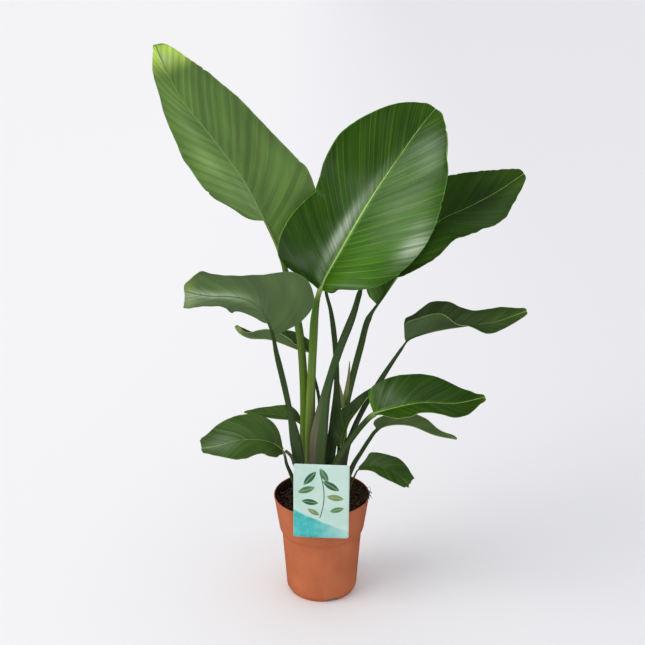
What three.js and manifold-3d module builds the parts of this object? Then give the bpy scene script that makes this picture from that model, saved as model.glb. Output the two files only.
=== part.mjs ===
// A potted bird of paradise: a nursery pot filled with soil, a folded plant label and fourteen
// leaves that each stand on their own stalk in the soil.
// Millimetres, +Z up. The origin is the middle of the pot's underside, on the surface it stands on.
// -Y is the front of the plant, the side that carries the label.
import * as THREE from "three";
import { mergeVertices } from "three/addons/utils/BufferGeometryUtils.js";
import Module from "manifold-3d";

// ---- driving dimensions -------------------------------------------------------------------
const GAP = 0.35; // clearance between neighbouring pieces

// pot
const POT_HEIGHT = 187;
const RIM_RADIUS = 85;
const LIP_HEIGHT = 2.6;
const COLLAR_TOP_RADIUS = 84.2;
const COLLAR_FOOT_RADIUS = 75.8;
const COLLAR_FOOT_Z = 127;
const BODY_TOP_RADIUS = 70.9;
const BODY_TOP_Z = 115;
const BODY_FOOT_RADIUS = 63.3;
const BODY_FOOT_Z = 13;
const FOOT_RADIUS = 58.4;
const FOOT_HEIGHT = 4.6;
const WALL = 1.6;
const FLOOR = 2; // thickness of the pot's floor
const RECESS = 4; // height of the hollow under the floor
const FOOT_RING = 6; // width of the ring the pot stands on
const BOSS_RADIUS = 14; // flat disc in the middle of the underside
const NOTCHES = 4; // drain notches through the foot ring
const NOTCH_WIDTH = 19;
const NOTCH_TURN = 18; // degrees from the front to the first notch
const DRAIN_HOLES = 8;
const DRAIN_HOLE_RADIUS = 4.5;
const DRAIN_CIRCLE = 36;
const POT_SIDES = 36;

// soil
const SOIL_LEVEL = 171;
const SOIL_RISE = 9; // how much higher it is piled on the right
const SOIL_BUMP = 2.2;

// label
const LABEL_WIDTH = 95;
const LABEL_HEIGHT = 139;
const LABEL_THICK = 0.8;
const LABEL_CORNER = 4;
const LABEL_FRONT_Y = -90.4;
const LABEL_FOOT_Z = 149;
const LABEL_TILT = 0.4; // degrees, right corner down
const LABEL_TURN = 3.7; // degrees, right edge forward
const LABEL_SHIFT = -1.3; // from the middle of its strip
const STRIP_WIDTH = 24;
const STRIP_TOP_Y = -88.4;
const STRIP_RIM = [-80.2, 190]; // y, z where the strip passes inside the rim
const STRIP_END = [-72.6, 142];

// leaves
const BLADE_THICK = 1.1;
const MIDRIB_END = 0.95; // radius of the midrib at the tip of the blade
const MIDRIB = 0.4; // radius of the midrib near the foot of the blade, as a part of the stalk's
const NECK = 0.6; // the same at the neck, where the stalk ends
const NECK_RUN = 70; // length over which the stalk thins towards the neck

// ---- the leaves ---------------------------------------------------------------------------
// points: middle of the stalk and then of the midrib, from the soil to the tip of the blade
// neck: number of the point where the blade begins
// face: direction the upper side of the blade looks in, from the base to the tip
// left, right: [place along the blade 0..1, half width] seen on the upper side, tip up
// fold: how far each half is folded up, degrees from the base to the tip; curl: how much
//   further the half turns up towards its margin
// wave: [height, number, phase] of the waves of each margin
// dents: [side, place, length, height] of single dents of a margin
// stalk: [half width of the sheath, half depth of the sheath, radius of the stalk, height on the
//   stalk where the sheath ends, length over which it widens, thickness at the neck if not NECK]
// tongues: [points, half width] of the loose tips of its sheath
// rows, cols: how finely the blade is divided
const LEAVES = {
  leaf_tall_left: {
    points: [
      [-28, 5, 146], [-29, 3, 225], [-29.5, 2, 300], [-30.4, 4, 386], [-38, 9, 491],
      [-53, 14, 563], [-68, 16, 622], [-96.5, 16, 689], [-128, 10, 754], [-169, 0, 816],
      [-216, -18, 884], [-238, -26, 928], [-254, -40, 975],
    ],
    neck: 6,
    face: [[0.45, 0.88, -0.1], [0.25, 0.95, 0.05], [0, 0.85, 0.5]],
    left: [
      [0, 0], [0.1, 74], [0.2, 103], [0.26, 105], [0.33, 95], [0.4, 87], [0.5, 82], [0.6, 78],
      [0.7, 71], [0.8, 61], [0.87, 48], [0.93, 34], [0.97, 22], [1, 2],
    ],
    right: [
      [0.165, 0], [0.19, 40], [0.22, 52], [0.3, 77], [0.4, 79], [0.5, 76], [0.6, 64], [0.7, 57],
      [0.8, 41], [0.87, 34], [0.93, 21], [0.97, 11], [1, 2],
    ],
    fold: [[12, 4, 0], [15, 12, 34]],
    curl: [[0, 4, 0], [0, 0, 0]],
    wave: [[1, 3.2, 0], [3, 4.2, 0.3]],
    stalk: [9, 8, 6.8, 320, 200],
    rows: 15,
    cols: 4,
  },
  leaf_front_large: {
    points: [
      [-17, -15, 146], [-20, -14, 225], [-20.5, -13, 298], [-18, -12, 400], [-14.5, -12, 474],
      [-11, -16, 532], [-2.5, -20, 575], [37, -14, 652], [82, -2, 728], [125, 12, 790],
      [162, 28, 839], [184.5, 39.5, 864],
    ],
    neck: 6,
    face: [[0.1, -0.95, 0.25], [0, -0.92, 0.35], [0.1, -0.8, 0.6]],
    left: [
      [0, 0], [0.01, 11], [0.02, 20], [0.03, 32], [0.04, 52], [0.05, 70], [0.06, 84], [0.08, 97],
      [0.15, 107], [0.22, 104], [0.3, 94], [0.36, 87], [0.42, 90], [0.5, 98], [0.6, 101],
      [0.7, 92], [0.8, 76], [0.87, 61], [0.93, 43], [0.97, 26], [1, 2],
    ],
    right: [
      [0, 0], [0.006, 20], [0.02, 25], [0.04, 28], [0.05, 34], [0.08, 55], [0.15, 86],
      [0.22, 102], [0.3, 112], [0.4, 116], [0.5, 113], [0.6, 104], [0.7, 91], [0.8, 75],
      [0.87, 61], [0.93, 44], [0.97, 26], [1, 2],
    ],
    fold: [[30, 8, 0], [24, 10, 4]],
    curl: [[-14, 4, -10], [-20, -10, 30]],
    wave: [[1.5, 2.4, 0.1], [2, 2.6, 0.3]],
    dents: [[-1, 0.36, 0.05, -7]],
    stalk: [9, 8, 7.1, 300, 150],
    rows: 16,
    cols: 4,
  },
  leaf_upper_right: {
    points: [
      [30, 8, 146], [34, 9, 250], [41, 12, 343], [52.5, 17, 398], [67.5, 23, 459],
      [80.5, 29.5, 507], [105, 37, 543], [136, 46, 587], [167, 52, 634], [198, 56, 671],
      [248, 60, 695], [294, 60, 721], [337, 56, 753],
    ],
    neck: 5,
    face: [[-0.4, -0.88, 0.25], [-0.3, -0.8, 0.5], [-0.2, -0.75, 0.6]],
    left: [
      [0.075, 0], [0.085, 23], [0.1, 30], [0.14, 41], [0.2, 52], [0.3, 64], [0.5, 72], [0.7, 61],
      [0.8, 48], [0.87, 37], [0.93, 26], [0.97, 17], [1, 3],
    ],
    right: [
      [0.24, 0], [0.27, 16], [0.33, 33], [0.4, 45], [0.5, 52], [0.6, 56], [0.7, 53], [0.76, 57],
      [0.8, 56], [0.87, 42], [0.93, 27], [0.97, 16], [1, 3],
    ],
    fold: [[30, 14, 4], [30, 20, 10]],
    curl: [[0, 0, 0], [0, 0, 0]],
    wave: [[2, 2.6, 0.1], [4, 3.4, 0.3]],
    stalk: [8, 7, 5.8, 250, 120, 0.9],
    tongues: [[[[39.9, 10, 355.4], [43.5, 10, 381.9], [46.8, 11, 407.7], [48, 11, 435.5]], 5]],
    rows: 15,
    cols: 4,
  },
  leaf_left_arching: {
    points: [
      [-33, -43, 146], [-36, -44, 220], [-39.5, -47, 275], [-47, -56, 333], [-61, -69, 418],
      [-74, -85, 489], [-79, -95, 523], [-91, -103, 557], [-113, -110, 585], [-142, -114, 594],
      [-180, -110, 594], [-218, -98, 598],
    ],
    neck: 6,
    face: [[0.3, 0.95, 0.1], [-0.05, 0.95, 0.3], [-0.1, 0.95, 0.3]],
    left: [
      [0, 0], [0.03, 30], [0.08, 58], [0.15, 84], [0.22, 90], [0.3, 81], [0.36, 60], [0.4, 47],
      [0.5, 35], [0.6, 33], [0.7, 37], [0.8, 43], [0.87, 35], [0.93, 24], [1, 3],
    ],
    right: [
      [0.12, 0], [0.2, 20], [0.3, 36], [0.4, 46], [0.5, 43], [0.6, 31], [0.7, 23], [0.8, 24],
      [0.9, 30], [0.96, 34], [1, 34],
    ],
    fold: [[10, 16, 0], [20, 18, 0]],
    curl: [[0, 30, 0], [0, 0, 0]],
    wave: [[1.5, 2, 0.1], [1.5, 2, 0.5]],
    stalk: [10.3, 7.5, 5, 235, 75],
    tongues: [[[[-41.1, -54, 324.2], [-44.1, -56, 340.1], [-47.4, -58, 355.8], [-50, -60, 372.4]], 2.4]],
    rows: 15,
    cols: 4,
  },
  leaf_back_left: {
    points: [
      [-8, 12, 146], [-5, 12, 250], [-4.5, 14, 361], [-14, 24, 408], [-18, 34, 440],
      [-38, 50, 440], [-91, 72, 452], [-130, 86, 450], [-147, 91, 458], [-154, 92, 469],
    ],
    neck: 4,
    face: [[-0.2, -0.1, 0.95], [0, 0.1, 0.98], [0.1, 0.1, 0.95]],
    left: [
      [0, 0], [0.1, 28], [0.2, 34], [0.3, 33], [0.5, 28], [0.6, 22], [0.7, 18], [0.8, 16],
      [0.88, 15], [0.95, 11], [1, 4],
    ],
    right: [
      [0, 0], [0.1, 24], [0.2, 28], [0.3, 29], [0.4, 26], [0.5, 20], [0.6, 19], [0.7, 15],
      [0.8, 14], [0.88, 13], [0.95, 10], [1, 4],
    ],
    fold: [[50, 55, 50], [50, 40, 40]],
    curl: [[0, 0, 0], [0, 0, 0]],
    wave: [[1, 2, 0.1], [1, 2, 0.5]],
    stalk: [4, 4, 2.8, 150, 80],
    rows: 10,
    cols: 3,
  },
  leaf_right_arching: {
    points: [
      [34, -17, 146], [35, -16, 200], [37.5, -15, 259], [52, -10, 308], [74, -4, 357],
      [103, 0, 408], [136, 13, 456], [148, 16, 472], [176, 16, 484], [210, 16, 492],
      [244, 14, 498], [294, 10, 507], [346, 4, 529],
    ],
    neck: 6,
    face: [[-0.25, 0, 0.95], [0, -0.15, 0.98], [-0.2, -0.5, 0.85]],
    left: [
      [0.07, 0], [0.085, 9], [0.1, 18], [0.12, 33], [0.13, 37], [0.15, 37.5], [0.22, 45],
      [0.3, 54], [0.4, 51], [0.5, 36], [0.6, 28], [0.7, 30], [0.8, 27], [0.87, 20], [0.93, 13],
      [1, 4],
    ],
    right: [
      [0.07, 0], [0.085, 9], [0.1, 19], [0.12, 33], [0.15, 35], [0.2, 34], [0.3, 38], [0.38, 46],
      [0.46, 38], [0.55, 36], [0.6, 36], [0.65, 33], [0.7, 28], [0.8, 20], [0.87, 15], [0.93, 11],
      [1, 4],
    ],
    fold: [[55, 45, 35, 15, 0], [75, 80, 31, -6, -12]],
    curl: [[0, 0, 0], [0, 0, 0]],
    wave: [[1, 2, 0.1], [1, 2, 0.5]],
    stalk: [6.5, 8, 4.9, 170, 60],
    rows: 14,
    cols: 3,
  },
  leaf_right_middle: {
    points: [
      [20, -54, 146], [22, -54, 215], [26.5, -54, 275], [41.5, -59, 307], [55.5, -65, 332],
      [71, -73, 357], [87, -86, 379], [120, -92, 393], [165, -96, 404], [221, -98, 404],
      [268, -98, 415],
    ],
    neck: 6,
    face: [[-0.4, -0.35, 0.85], [0, -0.4, 0.9], [-0.1, -0.5, 0.85]],
    left: [
      [0, 0], [0.01, 26], [0.03, 38], [0.08, 45], [0.15, 50], [0.3, 54], [0.4, 54], [0.5, 50],
      [0.6, 44], [0.7, 37], [0.8, 27], [0.87, 19], [0.93, 10], [1, 2],
    ],
    right: [
      [0, 0], [0.08, 12], [0.15, 26], [0.22, 36], [0.3, 37], [0.4, 28], [0.5, 26], [0.6, 28],
      [0.7, 34], [0.8, 29], [0.87, 20], [0.93, 12], [1, 5],
    ],
    fold: [[40, 15, 5], [20, 10, 0]],
    curl: [[0, 0, 0], [0, 0, 0]],
    wave: [[1, 2, 0.1], [1, 2.2, 0.5]],
    stalk: [8.6, 7, 5, 180, 60, 0.95],
    rows: 14,
    cols: 3,
  },
  leaf_right_under: {
    points: [
      [35, -43, 146], [39, -41, 215], [55, -31, 259], [68, -30, 282], [81, -30, 305],
      [95, -30, 325], [117, -28, 333], [152, -26, 331], [196, -22, 311], [234, -18, 301],
    ],
    neck: 5,
    face: [[-0.4, 0.1, 0.9], [0.2, 0.1, 0.95], [0.35, 0.1, 0.9]],
    left: [[0, 0], [0.08, 14], [0.2, 20], [0.4, 21], [0.6, 18], [0.8, 11], [1, 2]],
    right: [
      [0, 0], [0.015, 17], [0.04, 22], [0.08, 24], [0.2, 25], [0.4, 25], [0.5, 25], [0.6, 21],
      [0.7, 15], [0.8, 10], [0.9, 7], [1, 2],
    ],
    fold: [[50, 55, 50], [65, 70, 60]],
    curl: [[0, 0, 0], [0, 0, 0]],
    wave: [[1, 2, 0.1], [1, 2.2, 0.5]],
    stalk: [5, 5, 4.2, 150, 60, 0.85],
    rows: 10,
    cols: 3,
  },
  leaf_low_right: {
    points: [
      [44, -55, 146], [45.5, -53, 215], [57, -46, 245], [64, -47, 258], [86, -52, 267],
      [120, -62, 262], [150, -71, 241.5],
    ],
    neck: 3,
    face: [[-0.3, -0.5, 0.8], [0.1, -0.7, 0.7], [0.4, -0.6, 0.7]],
    left: [
      [0, 0], [0.08, 6], [0.15, 12], [0.22, 24], [0.4, 24], [0.6, 25], [0.8, 22], [0.9, 19],
      [1, 16],
    ],
    right: [[0, 0], [0.15, 9], [0.3, 13], [0.45, 18], [0.6, 19], [0.8, 16], [1, 7]],
    fold: [[20, 10, 0], [20, 10, 0]],
    curl: [[0, 0, 0], [0, 0, 0]],
    wave: [[0.6, 2, 0.1], [0.6, 2.2, 0.5]],
    stalk: [3.6, 3.6, 2.4, 60, 40],
    rows: 9,
    cols: 3,
  },
  leaf_low_left: {
    points: [
      [-42, -57, 146], [-43, -57, 190], [-46.5, -56, 232], [-53, -55, 253], [-59.5, -60, 273],
      [-66, -70, 304], [-89, -80, 326], [-134, -90, 334], [-174, -97, 326], [-200, -99, 322.5],
    ],
    neck: 5,
    face: [[0.2, -0.5, 0.8], [-0.1, -0.55, 0.85], [-0.3, -0.6, 0.7]],
    left: [
      [0, 0], [0.08, 20], [0.15, 34], [0.22, 36], [0.3, 31], [0.4, 36], [0.5, 43], [0.6, 42],
      [0.7, 32], [0.8, 21], [0.9, 13], [1, 5],
    ],
    right: [
      [0, 0], [0.05, 6], [0.1, 14], [0.15, 24], [0.22, 35], [0.3, 42], [0.4, 46], [0.5, 46],
      [0.6, 43], [0.7, 39], [0.8, 33], [0.9, 25], [1, 15],
    ],
    fold: [[20, 10, 0], [30, 10, 0]],
    curl: [[0, 0, 0], [0, 0, 0]],
    wave: [[1, 2, 0.1], [1, 2.2, 0.5]],
    stalk: [4.4, 4.4, 3.6, 90, 50],
    rows: 12,
    cols: 3,
  },
  leaf_low_left_rear: {
    points: [
      [-17, 20, 146], [-18, 22, 230], [-21, 24, 285], [-30, 24, 304], [-44, 20, 318],
      [-60, 20, 326], [-95, 32, 326], [-138, 50, 322],
    ],
    neck: 3,
    face: [[0.1, -0.05, 0.95], [-0.1, -0.05, 0.98], [-0.15, 0, 0.95]],
    left: [[0, 0], [0.08, 10], [0.2, 16], [0.4, 20], [0.6, 20], [0.8, 13], [0.9, 7], [1, 2]],
    right: [
      [0, 0], [0.08, 14], [0.2, 24], [0.3, 27], [0.5, 26], [0.65, 21], [0.8, 14], [0.9, 8],
      [1, 2],
    ],
    fold: [[30, 10, 10], [30, 14, 10]],
    curl: [[0, 0, 0], [0, 0, 0]],
    wave: [[1, 2, 0.1], [1, 2, 0.5]],
    stalk: [4.5, 4.5, 4, 100, 60],
    rows: 9,
    cols: 2,
  },
  leaf_inner_right: {
    points: [
      [23, -29, 146], [29, -29, 210], [35, -28, 262], [34, -30, 290], [34, -32, 308],
      [42, -31, 334], [56, -28, 358], [76, -26, 380], [97, -24, 398],
    ],
    neck: 3,
    face: [[-0.5, -0.7, 0.3], [-0.6, -0.6, 0.5], [-0.6, -0.4, 0.6]],
    left: [
      [0, 0], [0.1, 13], [0.2, 25], [0.3, 28], [0.4, 24], [0.6, 15], [0.8, 14], [0.9, 12], [1, 4],
    ],
    right: [[0, 0], [0.15, 8], [0.3, 14], [0.5, 17], [0.7, 17], [0.85, 15], [1, 4]],
    fold: [[20, 20, 10], [20, 40, 50]],
    curl: [[0, 0, 0], [0, 0, 0]],
    wave: [[1, 2, 0.1], [1, 2, 0.5]],
    stalk: [6.5, 5, 3, 110, 70],
    rows: 10,
    cols: 2,
  },
  leaf_rear_left: {
    points: [
      [10, 4, 146], [12, 2, 200], [13.5, 0, 248], [25, 7, 343], [26, 13, 400], [23, 20, 462],
      [15.5, 31, 520], [8, 36, 549], [1, 64, 586], [-6, 110, 610], [-10, 165, 622],
      [-12, 215, 627],
    ],
    neck: 7,
    face: [[-0.2, -0.7, 0.6], [-0.2, -0.2, 0.95], [-0.1, 0, 0.98]],
    left: [[0.17, 0], [0.24, 38], [0.32, 44], [0.5, 48], [0.75, 38], [0.9, 24], [1, 3]],
    right: [[0.1, 0], [0.16, 32], [0.25, 42], [0.5, 46], [0.75, 36], [0.9, 22], [1, 3]],
    fold: [[30, 20, 10], [30, 20, 10]],
    curl: [[0, 0, 0], [0, 0, 0]],
    wave: [[2, 2, 0.1], [2, 2, 0.5]],
    stalk: [9.5, 7, 4.7, 258, 75],
    tongues: [[[[37.4, 5, 350.1], [35.6, 6, 366.6], [33.3, 8, 380.8], [30.6, 10, 395]], 4]],
    rows: 10,
    cols: 3,
  },
  leaf_rear_centre: {
    points: [
      [-7, -37, 146], [-8, -36, 200], [-8, -35, 266], [-3.4, -33, 326], [10.5, -28, 405],
      [30, -21, 469], [53, -3, 525], [63.5, 14, 556], [74, 25, 590], [84, 33, 630], [92, 45, 680],
      [97, 62, 730], [99, 84, 772],
    ],
    neck: 7,
    face: [[-0.2, -0.95, 0.3], [-0.1, -0.95, 0.3], [0, -0.85, 0.5]],
    left: [[0.08, 0], [0.15, 34], [0.28, 48], [0.5, 54], [0.75, 42], [0.9, 26], [1, 3]],
    right: [[0.08, 0], [0.15, 24], [0.28, 36], [0.5, 44], [0.75, 38], [0.9, 24], [1, 3]],
    fold: [[10, 8, 6], [10, 8, 6]],
    curl: [[0, 0, 0], [0, 0, 0]],
    wave: [[1.5, 2, 0.1], [1.5, 2, 0.5]],
    stalk: [15.5, 8.5, 6.8, 280, 125, 0.7],
    rows: 10,
    cols: 3,
  },
};

// the cut stalk of an old leaf, beside the arching leaf on the left
const OLD_STALK = [[-31, -60, 146], [-37, -61, 230], [-47, -62, 275], [-52, -63, 291], [-61, -66, 302]];
const OLD_STALK_RADIUS = [3.4, 2.7];

// ---- small helpers ------------------------------------------------------------------------
const wasm = await Module();
wasm.setup();

const RAD = Math.PI / 180;
const V = (a) => new THREE.Vector3(...a);
const mix = (a, b, k) => a + (b - a) * k;
const smooth = (x) => {
  const k = Math.min(1, Math.max(0, x));
  return k * k * (3 - 2 * k);
};
// evenly spaced values blended smoothly from the first to the last
function along(values, u) {
  const x = Math.min(0.999999, Math.max(0, u)) * (values.length - 1);
  const i = Math.floor(x);
  return mix(values[i], values[i + 1], smooth(x - i));
}

function solidOf(geometry) {
  const plain = new THREE.BufferGeometry();
  const flat = geometry.index ? geometry.toNonIndexed() : geometry;
  plain.setAttribute("position", flat.getAttribute("position"));
  const merged = mergeVertices(plain, 1e-3);
  return new wasm.Manifold(
    new wasm.Mesh({
      numProp: 3,
      vertProperties: merged.attributes.position.array,
      triVerts: new Uint32Array(merged.index.array),
    }),
  );
}

function geometryOf(solid) {
  const mesh = solid.getMesh();
  const xyz = new Float32Array(mesh.numVert * 3);
  for (let i = 0; i < mesh.numVert; i++)
    xyz.set(mesh.vertProperties.subarray(i * mesh.numProp, i * mesh.numProp + 3), i * 3);
  const geometry = new THREE.BufferGeometry();
  geometry.setAttribute("position", new THREE.BufferAttribute(xyz, 3));
  geometry.setIndex(new THREE.BufferAttribute(new Uint32Array(mesh.triVerts), 1));
  geometry.computeVertexNormals();
  return geometry;
}

function closedGeometry(vertices, faces) {
  const geometry = new THREE.BufferGeometry();
  const xyz = vertices.flatMap((p) => [p.x, p.y, p.z]);
  geometry.setAttribute("position", new THREE.Float32BufferAttribute(xyz, 3));
  geometry.setIndex(faces);
  return geometry;
}

// a smooth line through a few points, measured by its length
class Line {
  constructor(points) {
    const p = points.map(V);
    const curve = new THREE.CatmullRomCurve3(p, false, "centripetal");
    const STEPS = 24;
    const n = (p.length - 1) * STEPS;
    this.at = [];
    this.run = [0];
    for (let i = 0; i <= n; i++) {
      this.at.push(curve.getPoint(i / n));
      if (i) this.run.push(this.run[i - 1] + this.at[i].distanceTo(this.at[i - 1]));
    }
    this.length = this.run[n];
    this.knot = (k) => this.run[k * STEPS];
  }
  point(s) {
    const want = Math.min(this.length, Math.max(0, s));
    let lo = 0;
    let hi = this.run.length - 1;
    while (hi - lo > 1) {
      const m = (lo + hi) >> 1;
      if (this.run[m] <= want) lo = m;
      else hi = m;
    }
    const k = (want - this.run[lo]) / Math.max(1e-9, this.run[hi] - this.run[lo]);
    return this.at[lo].clone().lerp(this.at[hi], k);
  }
  tangent(s) {
    return this.point(s + 4).sub(this.point(s - 4)).normalize();
  }
}

// half width of a blade at u, through [place, width] pairs; its square runs smoothly
function halfWidth(pairs, u) {
  const last = pairs.length - 1;
  if (u < pairs[0][0] || u > pairs[last][0]) return 0;
  const x = pairs.map((e) => e[0]);
  const y = pairs.map((e) => e[1] * e[1]);
  const h = x.slice(1).map((v, i) => v - x[i]);
  const d = h.map((v, i) => (y[i + 1] - y[i]) / v);
  const slope = (k) => {
    if (k === 0) return d[0] * 1.6;
    if (k === last) return d[last - 1] * 1.6;
    if (d[k - 1] * d[k] <= 0) return 0;
    const a = 2 * h[k] + h[k - 1];
    const b = h[k] + 2 * h[k - 1];
    return (a + b) / (a / d[k - 1] + b / d[k]);
  };
  let i = 0;
  while (i < last - 1 && x[i + 1] <= u) i++;
  const t = (u - x[i]) / h[i];
  const square =
    y[i] * (2 * t ** 3 - 3 * t * t + 1) +
    h[i] * slope(i) * (t ** 3 - 2 * t * t + t) +
    y[i + 1] * (3 * t * t - 2 * t ** 3) +
    h[i] * slope(i + 1) * (t ** 3 - t * t);
  return Math.sqrt(Math.max(0, square));
}

// a closed round bar with an elliptic section: rings of {at, side, up, a, b}
function barGeometry(rings, sides) {
  const vertices = [];
  const faces = [];
  rings.forEach(({ at, side, up, a, b }) => {
    for (let k = 0; k < sides; k++) {
      const turn = (2 * Math.PI * (k + 0.5)) / sides;
      vertices.push(
        at.clone().addScaledVector(side, a * Math.cos(turn)).addScaledVector(up, b * Math.sin(turn)),
      );
    }
  });
  const id = (i, k) => i * sides + (k % sides);
  for (let i = 0; i + 1 < rings.length; i++)
    for (let k = 0; k < sides; k++)
      faces.push(id(i, k), id(i + 1, k), id(i + 1, k + 1), id(i, k), id(i + 1, k + 1), id(i, k + 1));
  const end = rings.length - 1;
  for (let k = 1; k + 1 < sides; k++)
    faces.push(id(0, 0), id(0, k), id(0, k + 1), id(end, 0), id(end, k + 1), id(end, k));
  // the rings run from side to up, so the faces point inwards unless side x up lies along the bar
  return closedGeometry(vertices, faces);
}

function frameOn(line, s, face) {
  const t = line.tangent(s);
  const up = V(face).addScaledVector(t, -t.dot(V(face))).normalize();
  return { at: line.point(s), t, up, side: t.clone().cross(up) };
}

// ---- one leaf -----------------------------------------------------------------------------
class Leaf {
  constructor(spec) {
    Object.assign(this, spec);
    this.line = new Line(spec.points);
    this.neckAt = this.line.knot(spec.neck);
    this.bladeLength = this.line.length - this.neckAt;
    this.sides = this.stalk[0] > 5 ? 8 : 6;
    this.widest = [this.left, this.right].map((e) => Math.max(...e.map((q) => q[1])));
  }
  frame(u) {
    const face = [0, 1, 2].map((i) => along(this.face.map((f) => f[i]), u));
    return frameOn(this.line, this.neckAt + u * this.bladeLength, face);
  }
  // a place on the middle of the blade and the direction its upper side looks in there
  place(u, side, v) {
    const k = side > 0 ? 1 : 0;
    const { at, t, up, side: across } = this.frame(u);
    const w = Math.max(0.8, halfWidth(k ? this.right : this.left, u));
    const fold = along(this.fold[k], u) * RAD;
    const curl = along(this.curl[k], u) * RAD;
    let x = 0;
    let z = 0;
    const steps = 12;
    for (let i = 0; i < steps; i++) {
      const turn = fold + (curl * (i + 0.5) * v) / steps;
      x += (Math.cos(turn) * v) / steps;
      z += (Math.sin(turn) * v) / steps;
    }
    const [height, count, phase] = this.wave[k];
    const grip = Math.min(1, w / (0.5 * this.widest[k]));
    z = z * w + height * grip * v * v * Math.sin(2 * Math.PI * (count * u + phase));
    for (const [which, middle, length, depth] of this.dents ?? [])
      if (which === side) z += depth * v * v * Math.exp(-(((u - middle) / length) ** 2));
    const turn = fold + curl * v;
    return {
      point: at
        .clone()
        .addScaledVector(across, side * x * w)
        .addScaledVector(up, z)
        .addScaledVector(t, 0.12 * w * v * v * smooth(u / 0.3)),
      normal: up
        .clone()
        .multiplyScalar(Math.cos(turn))
        .addScaledVector(across, -side * Math.sin(turn)),
    };
  }
  bladeGeometry() {
    const { rows, cols } = this;
    const across = 2 * cols + 1;
    const top = [];
    const under = [];
    for (let i = 0; i <= rows; i++) {
      const u = 0.5 - 0.5 * Math.cos((Math.PI * i) / rows);
      for (let j = -cols; j <= cols; j++) {
        const { point, normal } = this.place(u, j < 0 ? -1 : 1, Math.abs(j) / cols);
        if (j === 0) normal.copy(this.frame(u).up);
        top.push(point.clone().addScaledVector(normal, BLADE_THICK / 2));
        under.push(point.clone().addScaledVector(normal, -BLADE_THICK / 2));
      }
    }
    const n = top.length;
    const faces = [];
    const id = (i, j) => i * across + j;
    // both faces are split along the same diagonals
    for (let i = 0; i < rows; i++)
      for (let j = 0; j + 1 < across; j++) {
        const [a, b, c, d] = [id(i, j), id(i, j + 1), id(i + 1, j + 1), id(i + 1, j)];
        const split = j < cols ? [[a, b, c], [a, c, d]] : [[a, b, d], [b, c, d]];
        for (const [p, q, r] of split) faces.push(p, q, r, n + p, n + r, n + q);
      }
    const edge = [];
    for (let j = 0; j + 1 < across; j++) edge.push([id(0, j), id(0, j + 1)]);
    for (let i = 0; i < rows; i++) edge.push([id(i, across - 1), id(i + 1, across - 1)]);
    for (let j = across - 1; j > 0; j--) edge.push([id(rows, j), id(rows, j - 1)]);
    for (let i = rows; i > 0; i--) edge.push([id(i, 0), id(i - 1, 0)]);
    for (const [p, q] of edge) faces.push(p, n + q, q, p, n + p, n + q);
    return closedGeometry([...top, ...under], faces);
  }
  // half width and half depth of the stalk or midrib
  thickness(s) {
    const [a, b, r, end, run, neck = NECK] = this.stalk;
    if (s > this.neckAt) {
      const u = Math.min(1, (s - this.neckAt) / this.bladeLength);
      const m = r * (MIDRIB * (1 - u) ** 0.9 + (neck - MIDRIB) * Math.exp(-u / 0.03));
      return [Math.max(MIDRIB_END, m), Math.max(MIDRIB_END, m)];
    }
    const thin = r * (1 - (1 - neck) * smooth(1 - (this.neckAt - s) / NECK_RUN));
    const k = smooth((end - s) / run);
    return [mix(thin, a, k), mix(thin, b, k)];
  }
  stalkRings(extra = 0) {
    const rings = [];
    const add = (s, from) => {
      const [a, b] = this.thickness(s);
      rings.push({ ...from, a: a + extra, b: b + extra });
    };
    const spans = Math.max(5, Math.round(this.neckAt / 38));
    for (let i = 0; i <= spans; i++) {
      const s = (this.neckAt * i) / spans;
      add(s, frameOn(this.line, s, this.face[0]));
    }
    if (extra) {
      rings[0].at.addScaledVector(rings[0].t, -extra);
      return rings.slice(0, 3);
    }
    const ribs = Math.max(4, Math.round(this.rows / 2));
    for (let i = 1; i <= ribs; i++) {
      const u = i / ribs;
      add(this.neckAt + u * this.bladeLength, this.frame(u));
    }
    return rings;
  }
  tongueSolids() {
    return (this.tongues ?? []).map(([points, half]) => {
      const line = new Line(points);
      const rings = [0, 0.4, 0.75, 1].map((k) => ({
        ...frameOn(line, k * line.length, [0, -1, 0.1]),
        a: mix(half, 0.7, k),
        b: mix(0.4 * half, 0.7, k),
      }));
      return outward(barGeometry(rings, 6));
    });
  }
  solid() {
    const bar = barGeometry(this.stalkRings(), this.sides);
    let s = outward(this.bladeGeometry()).add(outward(bar)).simplify(0.06);
    for (const tongue of this.tongueSolids()) s = s.add(tongue);
    return s;
  }
}

// the solid of a closed surface, turned the right way out
function outward(geometry) {
  const solid = solidOf(geometry);
  if (solid.volume() >= 0) return solid;
  const index = [...geometry.index.array];
  for (let i = 0; i < index.length; i += 3) [index[i + 1], index[i + 2]] = [index[i + 2], index[i + 1]];
  return solidOf(geometry.clone().setIndex(index));
}

// ---- pot ----------------------------------------------------------------------------------
const FLOOR_Z = RECESS + FLOOR;
const POT_OUTSIDE = [
  [FOOT_RADIUS, 0],
  [FOOT_RADIUS + 0.3, FOOT_HEIGHT],
  [BODY_FOOT_RADIUS - 1.6, BODY_FOOT_Z - 6.5],
  [BODY_FOOT_RADIUS, BODY_FOOT_Z],
  [BODY_TOP_RADIUS, BODY_TOP_Z],
  [BODY_TOP_RADIUS + 0.6, BODY_TOP_Z + 2],
  [COLLAR_FOOT_RADIUS - 1.2, COLLAR_FOOT_Z - 5],
  [COLLAR_FOOT_RADIUS, COLLAR_FOOT_Z],
  [COLLAR_TOP_RADIUS, POT_HEIGHT - LIP_HEIGHT - 0.6],
  [RIM_RADIUS, POT_HEIGHT - LIP_HEIGHT],
  [RIM_RADIUS, POT_HEIGHT - 0.5],
  [RIM_RADIUS - 0.6, POT_HEIGHT],
];
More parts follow.
